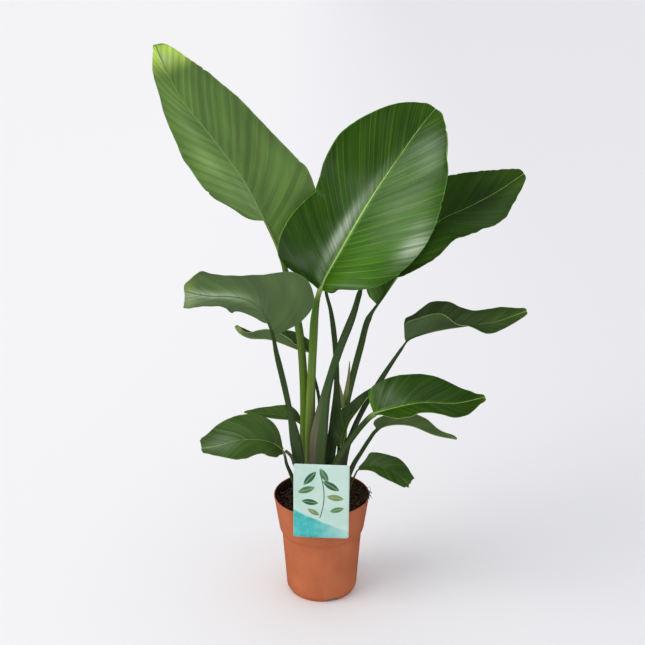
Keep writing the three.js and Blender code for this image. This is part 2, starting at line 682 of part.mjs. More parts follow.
const POT_INSIDE = [
  [RIM_RADIUS - WALL - 0.2, POT_HEIGHT],
  [COLLAR_TOP_RADIUS - WALL, POT_HEIGHT - LIP_HEIGHT - 0.6],
  [COLLAR_FOOT_RADIUS - WALL, COLLAR_FOOT_Z + 0.6],
  [COLLAR_FOOT_RADIUS - 1.2 - WALL, COLLAR_FOOT_Z - 4.4],
  [BODY_TOP_RADIUS - WALL, BODY_TOP_Z + 1],
  [BODY_FOOT_RADIUS - WALL, BODY_FOOT_Z + 1.4],
  [BODY_FOOT_RADIUS - 5, FLOOR_Z + 1.8],
  [BODY_FOOT_RADIUS - 9, FLOOR_Z],
];
const POT_UNDERSIDE = [
  [0, 0],
  [BOSS_RADIUS, 0],
  [BOSS_RADIUS + 2, RECESS],
  [FOOT_RADIUS - FOOT_RING - 1.5, RECESS],
  [FOOT_RADIUS - FOOT_RING, 0],
];

function lathe(profile) {
  const points = profile.map(([r, z]) => new THREE.Vector2(r, z));
  const geometry = new THREE.LatheGeometry(points, POT_SIDES).rotateX(Math.PI / 2);
  return outward(mergeVertices(stripped(geometry), 1e-3));
}
function stripped(geometry) {
  const plain = geometry.clone();
  plain.deleteAttribute("normal");
  plain.deleteAttribute("uv");
  return plain;
}

function potSolid() {
  let pot = lathe([...POT_UNDERSIDE, ...POT_OUTSIDE, ...POT_INSIDE, [0, FLOOR_Z]]);
  for (let i = 0; i < NOTCHES; i++) {
    const notch = new THREE.BoxGeometry(NOTCH_WIDTH, FOOT_RING * 4, RECESS * 2);
    notch.translate(0, -(FOOT_RADIUS - 2), 0);
    notch.rotateZ((NOTCH_TURN + (360 / NOTCHES) * i) * RAD);
    pot = pot.subtract(outward(stripped(notch)));
  }
  for (let i = 0; i < DRAIN_HOLES; i++) {
    const turn = ((i + 0.5) / DRAIN_HOLES) * 2 * Math.PI;
    const hole = new THREE.CylinderGeometry(DRAIN_HOLE_RADIUS, DRAIN_HOLE_RADIUS, 8, 12);
    hole.rotateX(Math.PI / 2);
    hole.translate(DRAIN_CIRCLE * Math.cos(turn), DRAIN_CIRCLE * Math.sin(turn), FLOOR_Z - 1);
    pot = pot.subtract(outward(stripped(hole)));
  }
  return pot;
}

// ---- soil ---------------------------------------------------------------------------------
function soilTop(x, y) {
  const pile = SOIL_RISE * smooth((x - 10) / 60);
  const rough =
    Math.sin(x * 0.21 + 1.3) * Math.cos(y * 0.17 - 0.4) + 0.6 * Math.sin(x * 0.37 - y * 0.29);
  return SOIL_LEVEL + pile + SOIL_BUMP * rough;
}

function insideRadius(z) {
  const wall = [...POT_INSIDE].reverse();
  for (let i = 0; i + 1 < wall.length; i++) {
    const [r0, z0] = wall[i];
    const [r1, z1] = wall[i + 1];
    if (z <= z1) return mix(r0, r1, Math.max(0, (z - z0) / (z1 - z0))) - GAP;
  }
  return wall.at(-1)[0] - GAP;
}

function soilSolid(stalks) {
  const sides = POT_SIDES;
  const vertices = [];
  const faces = [];
  const circle = (r, height) => {
    for (let k = 0; k < sides; k++) {
      const turn = (2 * Math.PI * k) / sides;
      const [x, y] = [r * Math.cos(turn), r * Math.sin(turn)];
      vertices.push(new THREE.Vector3(x, y, height(x, y)));
    }
  };
  const foot = FLOOR_Z + GAP;
  const levels = [foot, ...POT_INSIDE.map((q) => q[1]).filter((z) => z > foot + 0.5 && z < 160).reverse()];
  for (const z of levels) circle(insideRadius(z) - (z < 10 ? 1.2 : 0.15), () => z);
  // the edge of the top follows the pot's wall at the soil's own height
  for (let k = 0; k < sides; k++) {
    const turn = (2 * Math.PI * k) / sides;
    let r = 80;
    for (let n = 0; n < 4; n++) r = insideRadius(soilTop(r * Math.cos(turn), r * Math.sin(turn))) - 0.15;
    const [x, y] = [r * Math.cos(turn), r * Math.sin(turn)];
    vertices.push(new THREE.Vector3(x, y, soilTop(x, y)));
  }
  for (const r of [66, 50, 34, 17]) circle(r, soilTop);
  const id = (i, k) => i * sides + (k % sides);
  const ringCount = vertices.length / sides;
  for (let i = 0; i + 1 < ringCount; i++)
    for (let k = 0; k < sides; k++)
      faces.push(id(i, k), id(i, k + 1), id(i + 1, k + 1), id(i, k), id(i + 1, k + 1), id(i + 1, k));
  const bottom = vertices.push(new THREE.Vector3(0, 0, foot)) - 1;
  const top = vertices.push(new THREE.Vector3(0, 0, soilTop(0, 0))) - 1;
  for (let k = 0; k < sides; k++) {
    faces.push(bottom, id(0, k + 1), id(0, k));
    faces.push(top, id(ringCount - 1, k), id(ringCount - 1, k + 1));
  }
  let soil = outward(closedGeometry(vertices, faces));
  for (const stalk of stalks) soil = soil.subtract(stalk);
  return soil;
}

// ---- label --------------------------------------------------------------------------------
function cardSolid() {
  const [w, h, r] = [LABEL_WIDTH / 2, LABEL_HEIGHT, LABEL_CORNER];
  const shape = new THREE.Shape();
  const corner = (x, y, from) => shape.absarc(x, y, r, from * RAD, (from + 90) * RAD);
  corner(w - r, h - r, 0);
  corner(-w + r, h - r, 90);
  corner(-w + r, r, 180);
  corner(w - r, r, 270);
  const card = new THREE.ExtrudeGeometry(shape, {
    depth: LABEL_THICK,
    bevelEnabled: false,
    curveSegments: 3,
  });
  card.rotateX(Math.PI / 2);
  card.translate(0, LABEL_FRONT_Y + LABEL_THICK, 0);
  card.rotateY(LABEL_TILT * RAD);
  card.translate(0, -LABEL_FRONT_Y, 0);
  card.rotateZ(-LABEL_TURN * RAD);
  card.translate(0, LABEL_FRONT_Y, 0);
  card.translate(LABEL_SHIFT, 0, LABEL_FOOT_Z);
  return outward(stripped(card));
}

// the folded-back strip: a thin band whose side view is drawn in y and z
function stripSolid(extra = 0) {
  const half = LABEL_THICK / 2 + extra;
  const fold = LABEL_FOOT_Z + LABEL_HEIGHT - 1.2;
  const mid = [[LABEL_FRONT_Y + LABEL_THICK / 2, fold - 4], [LABEL_FRONT_Y + 0.9, fold]];
  mid.push([STRIP_TOP_Y, fold], [STRIP_RIM[0], STRIP_RIM[1]], [STRIP_END[0], STRIP_END[1] - extra]);
  const edge = (turn) =>
    mid.map(([y, z], i) => {
      const [y0, z0] = mid[Math.max(0, i - 1)];
      const [y1, z1] = mid[Math.min(mid.length - 1, i + 1)];
      const l = Math.hypot(y1 - y0, z1 - z0);
      return [y + (turn * half * (z1 - z0)) / l, z - (turn * half * (y1 - y0)) / l];
    });
  const shape = new THREE.Shape(
    [...edge(1), ...edge(-1).reverse()].map(([y, z]) => new THREE.Vector2(y, z)),
  );
  const strip = new THREE.ExtrudeGeometry(shape, {
    depth: STRIP_WIDTH + 2 * extra,
    bevelEnabled: false,
  });
  strip.translate(0, 0, -STRIP_WIDTH / 2 - extra);
  strip.applyMatrix4(
    new THREE.Matrix4().makeBasis(
      new THREE.Vector3(0, 1, 0),
      new THREE.Vector3(0, 0, 1),
      new THREE.Vector3(1, 0, 0),
    ),
  );
  return outward(stripped(strip));
}

// ---- assembly -----------------------------------------------------------------------------
const group = new THREE.Group();
group.name = "potted_bird_of_paradise";

function piece(name, solid, colour, roughness = 0.6) {
  const material = new THREE.MeshStandardMaterial({ color: colour, roughness });
  material.name = name;
  const mesh = new THREE.Mesh(geometryOf(solid), material);
  mesh.name = name;
  group.add(mesh);
}

const leaves = Object.entries(LEAVES).map(([name, spec]) => [name, new Leaf(spec)]);

function oldStalkRings(extra) {
  const line = new Line(OLD_STALK);
  const [foot, end] = OLD_STALK_RADIUS;
  return [0, 0.25, 0.5, 0.75, 0.88, 1].map((k) => {
    const ring = frameOn(line, k * line.length, [0, -1, 0.1]);
    if (extra && k === 0) ring.at.z -= extra;
    return { ...ring, a: mix(foot, end, k) + extra, b: mix(foot, end, k) + extra };
  });
}

const holes = leaves.map(([, leaf]) => outward(barGeometry(leaf.stalkRings(GAP), leaf.sides)));
holes.push(outward(barGeometry(oldStalkRings(GAP), 8)));
holes.push(stripSolid(GAP));

piece("pot", potSolid(), "#c9764f", 0.55);
piece("soil", soilSolid(holes), "#3a2a1e", 1);
piece("plant_label", cardSolid().add(stripSolid()), "#bfe3d6", 0.4);
for (const [name, leaf] of leaves) piece(name, leaf.solid(), "#3f7a34", 0.4);
piece("old_stalk", outward(barGeometry(oldStalkRings(0), 8)), "#4d6a3c", 0.6);

export default group;
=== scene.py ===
"""The looks of a potted bird of paradise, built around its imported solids."""

import math
import random
from bisect import bisect_right

import bmesh
import bpy
from mathutils import Matrix, Vector, noise


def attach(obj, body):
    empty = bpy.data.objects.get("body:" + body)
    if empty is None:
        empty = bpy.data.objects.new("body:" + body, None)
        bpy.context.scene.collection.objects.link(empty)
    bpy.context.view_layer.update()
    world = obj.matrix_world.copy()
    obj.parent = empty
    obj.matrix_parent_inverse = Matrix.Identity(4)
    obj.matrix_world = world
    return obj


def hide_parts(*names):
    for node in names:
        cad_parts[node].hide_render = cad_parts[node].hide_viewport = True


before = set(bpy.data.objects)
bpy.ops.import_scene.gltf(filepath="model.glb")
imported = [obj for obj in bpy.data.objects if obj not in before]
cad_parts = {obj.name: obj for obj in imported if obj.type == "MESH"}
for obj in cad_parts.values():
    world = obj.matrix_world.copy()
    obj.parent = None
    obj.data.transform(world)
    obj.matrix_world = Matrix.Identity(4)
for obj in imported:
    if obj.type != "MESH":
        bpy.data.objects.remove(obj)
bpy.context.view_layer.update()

MM = 0.001  # shapes are worked out in millimetres and placed in metres

# ---- camera ---------------------------------------------------------------------------------
IMAGE_SIDE = 645  # pixels
FOCAL = 1200  # pixels
SENSOR = 36.0  # millimetres
CAMERA_AT = (0.0014, -1.908, 1.196)  # metres
CAMERA_DOWN = 19.78  # degrees below the horizon

# ---- pot, soil and label, in millimetres ----------------------------------------------------
POT_TURNS = 144  # faces round the pot
POT_HEIGHT = 187
COLLAR_FOOT_RADIUS = 75.8
COLLAR_FOOT_Z = 127
COLLAR_SLOPE = 0.1482  # how much wider the collar gets with its height
RECESS = 4  # height of the hollow under the floor
FOOT_RADIUS = 58.4
FLOOR_Z = 6  # top of the pot's floor
NOTCHES = 4  # drain notches through the foot ring
NOTCH_WIDTH = 19
NOTCH_DEPTH = 24
NOTCH_TURN = 18  # degrees from the front to the first notch
DRAIN_HOLES = 8
DRAIN_HOLE_RADIUS = 4.5
DRAIN_CIRCLE = 36  # radius on which the holes lie
GAP = 0.35  # clearance between the pot and the soil
SOIL_LEVEL = 171
SOIL_RISE = 9  # how much higher it is piled on the right
SOIL_BUMP = 2.2  # height of its broad waves
SOIL_EASE = 0.3  # how far the bed stays inside its solid
CRUMBS = 1000
CRUMB_REACH = 79  # how far from the middle crumbs and strands lie
STRANDS = 260
STRANDS_OVER = 22  # the first of them hang over the rim on the right
STRANDS_OVER_FROM = 74  # how far from the middle these begin
RIM_INSIDE = 78  # radius from which a strand lies on the rim
RIM_OUTSIDE = 87.5  # radius from which it hangs down
OLD_STALK_RADIUS = (3.4, 2.7)
LABEL_WIDTH = 95
LABEL_HEIGHT = 139
LABEL_THICK = 0.8
LABEL_CORNER = 4
LABEL_FRONT_Y = -90.4
LABEL_FOOT_Z = 149
LABEL_TILT = 0.4  # degrees, right corner down
LABEL_TURN = 3.7  # degrees, right edge forward
LABEL_SHIFT = -1.3  # from the middle of its strip
LABEL_BOW = 1.1  # how far its middle comes forward at the foot
STRIP_WIDTH = 24

# ---- leaves ---------------------------------------------------------------------------------
BLADE_THICK = 0.9
MIDRIB_END = 0.95  # radius of the midrib at the tip of the blade
MIDRIB = 0.4  # radius near the foot of the blade, as a part of the stalk's
NECK = 0.6  # the same at the neck, where the stalk ends
NECK_RUN = 70  # length over which the stalk thins towards the neck
RIB_PITCH = 22  # between the ribs of a blade, measured along its midrib
FINE_RIB_PITCH = 6.1
VEIN_SLANT = 0.45  # how far a side vein runs towards the tip for each step outwards at the base
VEIN_SPREAD = 2.0  # and how that grows towards the tip
STALK_SIDES = 20
# points: middle of the stalk and then of the midrib, from the soil to the tip of the blade
# neck: number of the point where the blade begins
# face: direction the upper side of the blade looks in, from the base to the tip
# left, right: [place along the blade 0..1, half width] seen on the upper side, tip up
# fold, curl: degrees each half is folded up, and turns up further towards its margin
# wave: [height, number, phase] of the waves of each margin
# dents: [side, place, length, height] of single dents of a margin
# stalk: [half width and half depth of the sheath, radius of the stalk, height on the stalk where
#   the sheath ends, length over which it widens, thickness at the neck if not NECK]
# tongues: [points, half width] of the loose tips of its sheath
COMMON_SHAPE = dict(curl=[[0, 0, 0], [0, 0, 0]], wave=[[1, 2, 0.1], [1, 2, 0.5]], dents=(), tongues=())
LEAVES = {
  "leaf_tall_left": dict(
    points=[[-28, 5, 146], [-29, 3, 225], [-29.5, 2, 300], [-30.4, 4, 386], [-38, 9, 491], [-53, 14, 563],
      [-68, 16, 622], [-96.5, 16, 689], [-128, 10, 754], [-169, 0, 816], [-216, -18, 884], [-238, -26, 928],
      [-254, -40, 975]],
    neck=6, face=[[0.45, 0.88, -0.1], [0.25, 0.95, 0.05], [0, 0.85, 0.5]],
    left=[[0, 0], [0.1, 74], [0.2, 103], [0.26, 105], [0.33, 95], [0.4, 87], [0.5, 82], [0.6, 78],
      [0.7, 71], [0.8, 61], [0.87, 48], [0.93, 34], [0.97, 22], [1, 2]],
    right=[[0.165, 0], [0.19, 40], [0.22, 52], [0.3, 77], [0.4, 79], [0.5, 76], [0.6, 64], [0.7, 57],
      [0.8, 41], [0.87, 34], [0.93, 21], [0.97, 11], [1, 2]],
    fold=[[12, 4, 0], [15, 12, 34]], curl=[[0, 4, 0], [0, 0, 0]], wave=[[1, 3.2, 0], [3, 4.2, 0.3]],
    stalk=[9, 8, 6.8, 320, 200]),
  "leaf_front_large": dict(
    points=[[-17, -15, 146], [-20, -14, 225], [-20.5, -13, 298], [-18, -12, 400], [-14.5, -12, 474],
      [-11, -16, 532], [-2.5, -20, 575], [37, -14, 652], [82, -2, 728], [125, 12, 790], [162, 28, 839],
      [184.5, 39.5, 864]],
    neck=6, face=[[0.1, -0.95, 0.25], [0, -0.92, 0.35], [0.1, -0.8, 0.6]],
    left=[[0, 0], [0.01, 11], [0.02, 20], [0.03, 32], [0.04, 52], [0.05, 70], [0.06, 84], [0.08, 97],
      [0.15, 107], [0.22, 104], [0.3, 94], [0.36, 87], [0.42, 90], [0.5, 98], [0.6, 101], [0.7, 92],
      [0.8, 76], [0.87, 61], [0.93, 43], [0.97, 26], [1, 2]],
    right=[[0, 0], [0.006, 20], [0.02, 25], [0.04, 28], [0.05, 34], [0.08, 55], [0.15, 86], [0.22, 102],
      [0.3, 112], [0.4, 116], [0.5, 113], [0.6, 104], [0.7, 91], [0.8, 75], [0.87, 61], [0.93, 44],
      [0.97, 26], [1, 2]],
    fold=[[30, 8, 0], [24, 10, 4]], curl=[[-14, 4, -10], [-20, -10, 30]],
    wave=[[1.5, 2.4, 0.1], [2, 2.6, 0.3]], dents=[[-1, 0.36, 0.05, -7]], stalk=[9, 8, 7.1, 300, 150]),
  "leaf_upper_right": dict(
    points=[[30, 8, 146], [34, 9, 250], [41, 12, 343], [52.5, 17, 398], [67.5, 23, 459], [80.5, 29.5, 507],
      [105, 37, 543], [136, 46, 587], [167, 52, 634], [198, 56, 671], [248, 60, 695], [294, 60, 721],
      [337, 56, 753]],
    neck=5, face=[[-0.4, -0.88, 0.25], [-0.3, -0.8, 0.5], [-0.2, -0.75, 0.6]],
    left=[[0.075, 0], [0.085, 23], [0.1, 30], [0.14, 41], [0.2, 52], [0.3, 64], [0.5, 72], [0.7, 61],
      [0.8, 48], [0.87, 37], [0.93, 26], [0.97, 17], [1, 3]],
    right=[[0.24, 0], [0.27, 16], [0.33, 33], [0.4, 45], [0.5, 52], [0.6, 56], [0.7, 53], [0.76, 57],
      [0.8, 56], [0.87, 42], [0.93, 27], [0.97, 16], [1, 3]],
    fold=[[30, 14, 4], [30, 20, 10]], wave=[[2, 2.6, 0.1], [4, 3.4, 0.3]], stalk=[8, 7, 5.8, 250, 120, 0.9],
    tongues=[[[[39.9, 10, 355.4], [43.5, 10, 381.9], [46.8, 11, 407.7], [48, 11, 435.5]], 5]]),
  "leaf_left_arching": dict(
    points=[[-33, -43, 146], [-36, -44, 220], [-39.5, -47, 275], [-47, -56, 333], [-61, -69, 418],
      [-74, -85, 489], [-79, -95, 523], [-91, -103, 557], [-113, -110, 585], [-142, -114, 594],
      [-180, -110, 594], [-218, -98, 598]],
    neck=6, face=[[0.3, 0.95, 0.1], [-0.05, 0.95, 0.3], [-0.1, 0.95, 0.3]],
    left=[[0, 0], [0.03, 30], [0.08, 58], [0.15, 84], [0.22, 90], [0.3, 81], [0.36, 60], [0.4, 47],
      [0.5, 35], [0.6, 33], [0.7, 37], [0.8, 43], [0.87, 35], [0.93, 24], [1, 3]],
    right=[[0.12, 0], [0.2, 20], [0.3, 36], [0.4, 46], [0.5, 43], [0.6, 31], [0.7, 23], [0.8, 24],
      [0.9, 30], [0.96, 34], [1, 34]],
    fold=[[10, 16, 0], [20, 18, 0]], curl=[[0, 30, 0], [0, 0, 0]], wave=[[1.5, 2, 0.1], [1.5, 2, 0.5]],
    stalk=[10.3, 7.5, 5, 235, 75],
    tongues=[[[[-41.1, -54, 324.2], [-44.1, -56, 340.1], [-47.4, -58, 355.8], [-50, -60, 372.4]], 2.4]]),
  "leaf_back_left": dict(
    points=[[-8, 12, 146], [-5, 12, 250], [-4.5, 14, 361], [-14, 24, 408], [-18, 34, 440], [-38, 50, 440],
      [-91, 72, 452], [-130, 86, 450], [-147, 91, 458], [-154, 92, 469]],
    neck=4, face=[[-0.2, -0.1, 0.95], [0, 0.1, 0.98], [0.1, 0.1, 0.95]],
    left=[[0, 0], [0.1, 28], [0.2, 34], [0.3, 33], [0.5, 28], [0.6, 22], [0.7, 18], [0.8, 16], [0.88, 15],
      [0.95, 11], [1, 4]],
    right=[[0, 0], [0.1, 24], [0.2, 28], [0.3, 29], [0.4, 26], [0.5, 20], [0.6, 19], [0.7, 15], [0.8, 14],
      [0.88, 13], [0.95, 10], [1, 4]],
    fold=[[50, 55, 50], [50, 40, 40]], stalk=[4, 4, 2.8, 150, 80]),
  "leaf_right_arching": dict(
    points=[[34, -17, 146], [35, -16, 200], [37.5, -15, 259], [52, -10, 308], [74, -4, 357], [103, 0, 408],
      [136, 13, 456], [148, 16, 472], [176, 16, 484], [210, 16, 492], [244, 14, 498], [294, 10, 507],
      [346, 4, 529]],
    neck=6, face=[[-0.25, 0, 0.95], [0, -0.15, 0.98], [-0.2, -0.5, 0.85]],
    left=[[0.07, 0], [0.085, 9], [0.1, 18], [0.12, 33], [0.13, 37], [0.15, 37.5], [0.22, 45], [0.3, 54],
      [0.4, 51], [0.5, 36], [0.6, 28], [0.7, 30], [0.8, 27], [0.87, 20], [0.93, 13], [1, 4]],
    right=[[0.07, 0], [0.085, 9], [0.1, 19], [0.12, 33], [0.15, 35], [0.2, 34], [0.3, 38], [0.38, 46],
      [0.46, 38], [0.55, 36], [0.6, 36], [0.65, 33], [0.7, 28], [0.8, 20], [0.87, 15], [0.93, 11], [1, 4]],
    fold=[[55, 45, 35, 15, 0], [75, 80, 31, -6, -12]], stalk=[6.5, 8, 4.9, 170, 60]),
  "leaf_right_middle": dict(
    points=[[20, -54, 146], [22, -54, 215], [26.5, -54, 275], [41.5, -59, 307], [55.5, -65, 332],
      [71, -73, 357], [87, -86, 379], [120, -92, 393], [165, -96, 404], [221, -98, 404], [268, -98, 415]],
    neck=6, face=[[-0.4, -0.35, 0.85], [0, -0.4, 0.9], [-0.1, -0.5, 0.85]],
    left=[[0, 0], [0.01, 26], [0.03, 38], [0.08, 45], [0.15, 50], [0.3, 54], [0.4, 54], [0.5, 50],
      [0.6, 44], [0.7, 37], [0.8, 27], [0.87, 19], [0.93, 10], [1, 2]],
    right=[[0, 0], [0.08, 12], [0.15, 26], [0.22, 36], [0.3, 37], [0.4, 28], [0.5, 26], [0.6, 28],
      [0.7, 34], [0.8, 29], [0.87, 20], [0.93, 12], [1, 5]],
    fold=[[40, 15, 5], [20, 10, 0]], wave=[[1, 2, 0.1], [1, 2.2, 0.5]], stalk=[8.6, 7, 5, 180, 60, 0.95]),
  "leaf_right_under": dict(
    points=[[35, -43, 146], [39, -41, 215], [55, -31, 259], [68, -30, 282], [81, -30, 305], [95, -30, 325],
      [117, -28, 333], [152, -26, 331], [196, -22, 311], [234, -18, 301]],
    neck=5, face=[[-0.4, 0.1, 0.9], [0.2, 0.1, 0.95], [0.35, 0.1, 0.9]],
    left=[[0, 0], [0.08, 14], [0.2, 20], [0.4, 21], [0.6, 18], [0.8, 11], [1, 2]],
    right=[[0, 0], [0.015, 17], [0.04, 22], [0.08, 24], [0.2, 25], [0.4, 25], [0.5, 25], [0.6, 21],
      [0.7, 15], [0.8, 10], [0.9, 7], [1, 2]],
    fold=[[50, 55, 50], [65, 70, 60]], wave=[[1, 2, 0.1], [1, 2.2, 0.5]], stalk=[5, 5, 4.2, 150, 60, 0.85]),
  "leaf_low_right": dict(
    points=[[44, -55, 146], [45.5, -53, 215], [57, -46, 245], [64, -47, 258], [86, -52, 267],
      [120, -62, 262], [150, -71, 241.5]],
    neck=3, face=[[-0.3, -0.5, 0.8], [0.1, -0.7, 0.7], [0.4, -0.6, 0.7]],
    left=[[0, 0], [0.08, 6], [0.15, 12], [0.22, 24], [0.4, 24], [0.6, 25], [0.8, 22], [0.9, 19], [1, 16]],
    right=[[0, 0], [0.15, 9], [0.3, 13], [0.45, 18], [0.6, 19], [0.8, 16], [1, 7]],
    fold=[[20, 10, 0], [20, 10, 0]], wave=[[0.6, 2, 0.1], [0.6, 2.2, 0.5]], stalk=[3.6, 3.6, 2.4, 60, 40]),
  "leaf_low_left": dict(
    points=[[-42, -57, 146], [-43, -57, 190], [-46.5, -56, 232], [-53, -55, 253], [-59.5, -60, 273],
      [-66, -70, 304], [-89, -80, 326], [-134, -90, 334], [-174, -97, 326], [-200, -99, 322.5]],
    neck=5, face=[[0.2, -0.5, 0.8], [-0.1, -0.55, 0.85], [-0.3, -0.6, 0.7]],
    left=[[0, 0], [0.08, 20], [0.15, 34], [0.22, 36], [0.3, 31], [0.4, 36], [0.5, 43], [0.6, 42], [0.7, 32],
      [0.8, 21], [0.9, 13], [1, 5]],
    right=[[0, 0], [0.05, 6], [0.1, 14], [0.15, 24], [0.22, 35], [0.3, 42], [0.4, 46], [0.5, 46], [0.6, 43],
      [0.7, 39], [0.8, 33], [0.9, 25], [1, 15]],
    fold=[[20, 10, 0], [30, 10, 0]], wave=[[1, 2, 0.1], [1, 2.2, 0.5]], stalk=[4.4, 4.4, 3.6, 90, 50]),
  "leaf_low_left_rear": dict(
    points=[[-17, 20, 146], [-18, 22, 230], [-21, 24, 285], [-30, 24, 304], [-44, 20, 318], [-60, 20, 326],
      [-95, 32, 326], [-138, 50, 322]],
    neck=3, face=[[0.1, -0.05, 0.95], [-0.1, -0.05, 0.98], [-0.15, 0, 0.95]],
    left=[[0, 0], [0.08, 10], [0.2, 16], [0.4, 20], [0.6, 20], [0.8, 13], [0.9, 7], [1, 2]],
    right=[[0, 0], [0.08, 14], [0.2, 24], [0.3, 27], [0.5, 26], [0.65, 21], [0.8, 14], [0.9, 8], [1, 2]],
    fold=[[30, 10, 10], [30, 14, 10]], stalk=[4.5, 4.5, 4, 100, 60]),
  "leaf_inner_right": dict(
    points=[[23, -29, 146], [29, -29, 210], [35, -28, 262], [34, -30, 290], [34, -32, 308], [42, -31, 334],
      [56, -28, 358], [76, -26, 380], [97, -24, 398]],
    neck=3, face=[[-0.5, -0.7, 0.3], [-0.6, -0.6, 0.5], [-0.6, -0.4, 0.6]],
    left=[[0, 0], [0.1, 13], [0.2, 25], [0.3, 28], [0.4, 24], [0.6, 15], [0.8, 14], [0.9, 12], [1, 4]],
    right=[[0, 0], [0.15, 8], [0.3, 14], [0.5, 17], [0.7, 17], [0.85, 15], [1, 4]],
    fold=[[20, 20, 10], [20, 40, 50]], stalk=[6.5, 5, 3, 110, 70]),
  "leaf_rear_left": dict(
    points=[[10, 4, 146], [12, 2, 200], [13.5, 0, 248], [25, 7, 343], [26, 13, 400], [23, 20, 462],
      [15.5, 31, 520], [8, 36, 549], [1, 64, 586], [-6, 110, 610], [-10, 165, 622], [-12, 215, 627]],
    neck=7, face=[[-0.2, -0.7, 0.6], [-0.2, -0.2, 0.95], [-0.1, 0, 0.98]],
    left=[[0.17, 0], [0.24, 38], [0.32, 44], [0.5, 48], [0.75, 38], [0.9, 24], [1, 3]],
    right=[[0.1, 0], [0.16, 32], [0.25, 42], [0.5, 46], [0.75, 36], [0.9, 22], [1, 3]],
    fold=[[30, 20, 10], [30, 20, 10]], wave=[[2, 2, 0.1], [2, 2, 0.5]], stalk=[9.5, 7, 4.7, 258, 75],
    tongues=[[[[37.4, 5, 350.1], [35.6, 6, 366.6], [33.3, 8, 380.8], [30.6, 10, 395]], 4]]),
  "leaf_rear_centre": dict(
    points=[[-7, -37, 146], [-8, -36, 200], [-8, -35, 266], [-3.4, -33, 326], [10.5, -28, 405],
      [30, -21, 469], [53, -3, 525], [63.5, 14, 556], [74, 25, 590], [84, 33, 630], [92, 45, 680],
      [97, 62, 730], [99, 84, 772]],
    neck=7, face=[[-0.2, -0.95, 0.3], [-0.1, -0.95, 0.3], [0, -0.85, 0.5]],
    left=[[0.08, 0], [0.15, 34], [0.28, 48], [0.5, 54], [0.75, 42], [0.9, 26], [1, 3]],
    right=[[0.08, 0], [0.15, 24], [0.28, 36], [0.5, 44], [0.75, 38], [0.9, 24], [1, 3]],
    fold=[[10, 8, 6], [10, 8, 6]], wave=[[1.5, 2, 0.1], [1.5, 2, 0.5]],
    stalk=[15.5, 8.5, 6.8, 280, 125, 0.7]),
}

# skin: "gloss", "plain" or "matt" upper side; pleated: broad pleats on the underside
# upper, under: colour of each side against that of its skin
# light: patches of painted light, and of painted shade where the amount is below 0;
# painted_sheen, painted_sheen_under: patches of painted sheen above and below; each given as
#   (place along the blade, place across it with the left side below 0, length, width, amount)
# ribs, ripple: height of the ribs between the veins and of the ripples of the margin
# arch: how far each half rises between the midrib and the margin; ragged: unevenness of the margin
# nicks: (side, place, depth) of nicks in the margin
# roll: (side, from, to, where across it begins, degrees) of a margin that rolls over
# torn: unevenness of a cut tip; burnt: share of the blade that is brown at its tip
# pale_tip, pale_margin, pale_rib: how much paler the tip, the margin and the strip at the midrib are
# rib, wide_rib: brightness and width of the midrib against the common one
# late: length of the midrib that still has the stalk's colour
# stalk: its tones; flank: 1 or -1 for the side of the sheath that has the flank's tone
COMMON_FINISH = dict(
  skin="plain", pleated=False, upper=(1, 1, 1), under=(0.9, 0.9, 0.9), light=(), painted_sheen=(), painted_sheen_under=(),
  ribs=0.2, ripple=0.6, arch=2, ragged=0.5, nicks=(), roll=None, torn=0, burnt=0.012,
  pale_tip=0.25, pale_margin=0.6, pale_rib=0, rib=1, wide_rib=1, late=0, stalk="dark", flank=1,
)
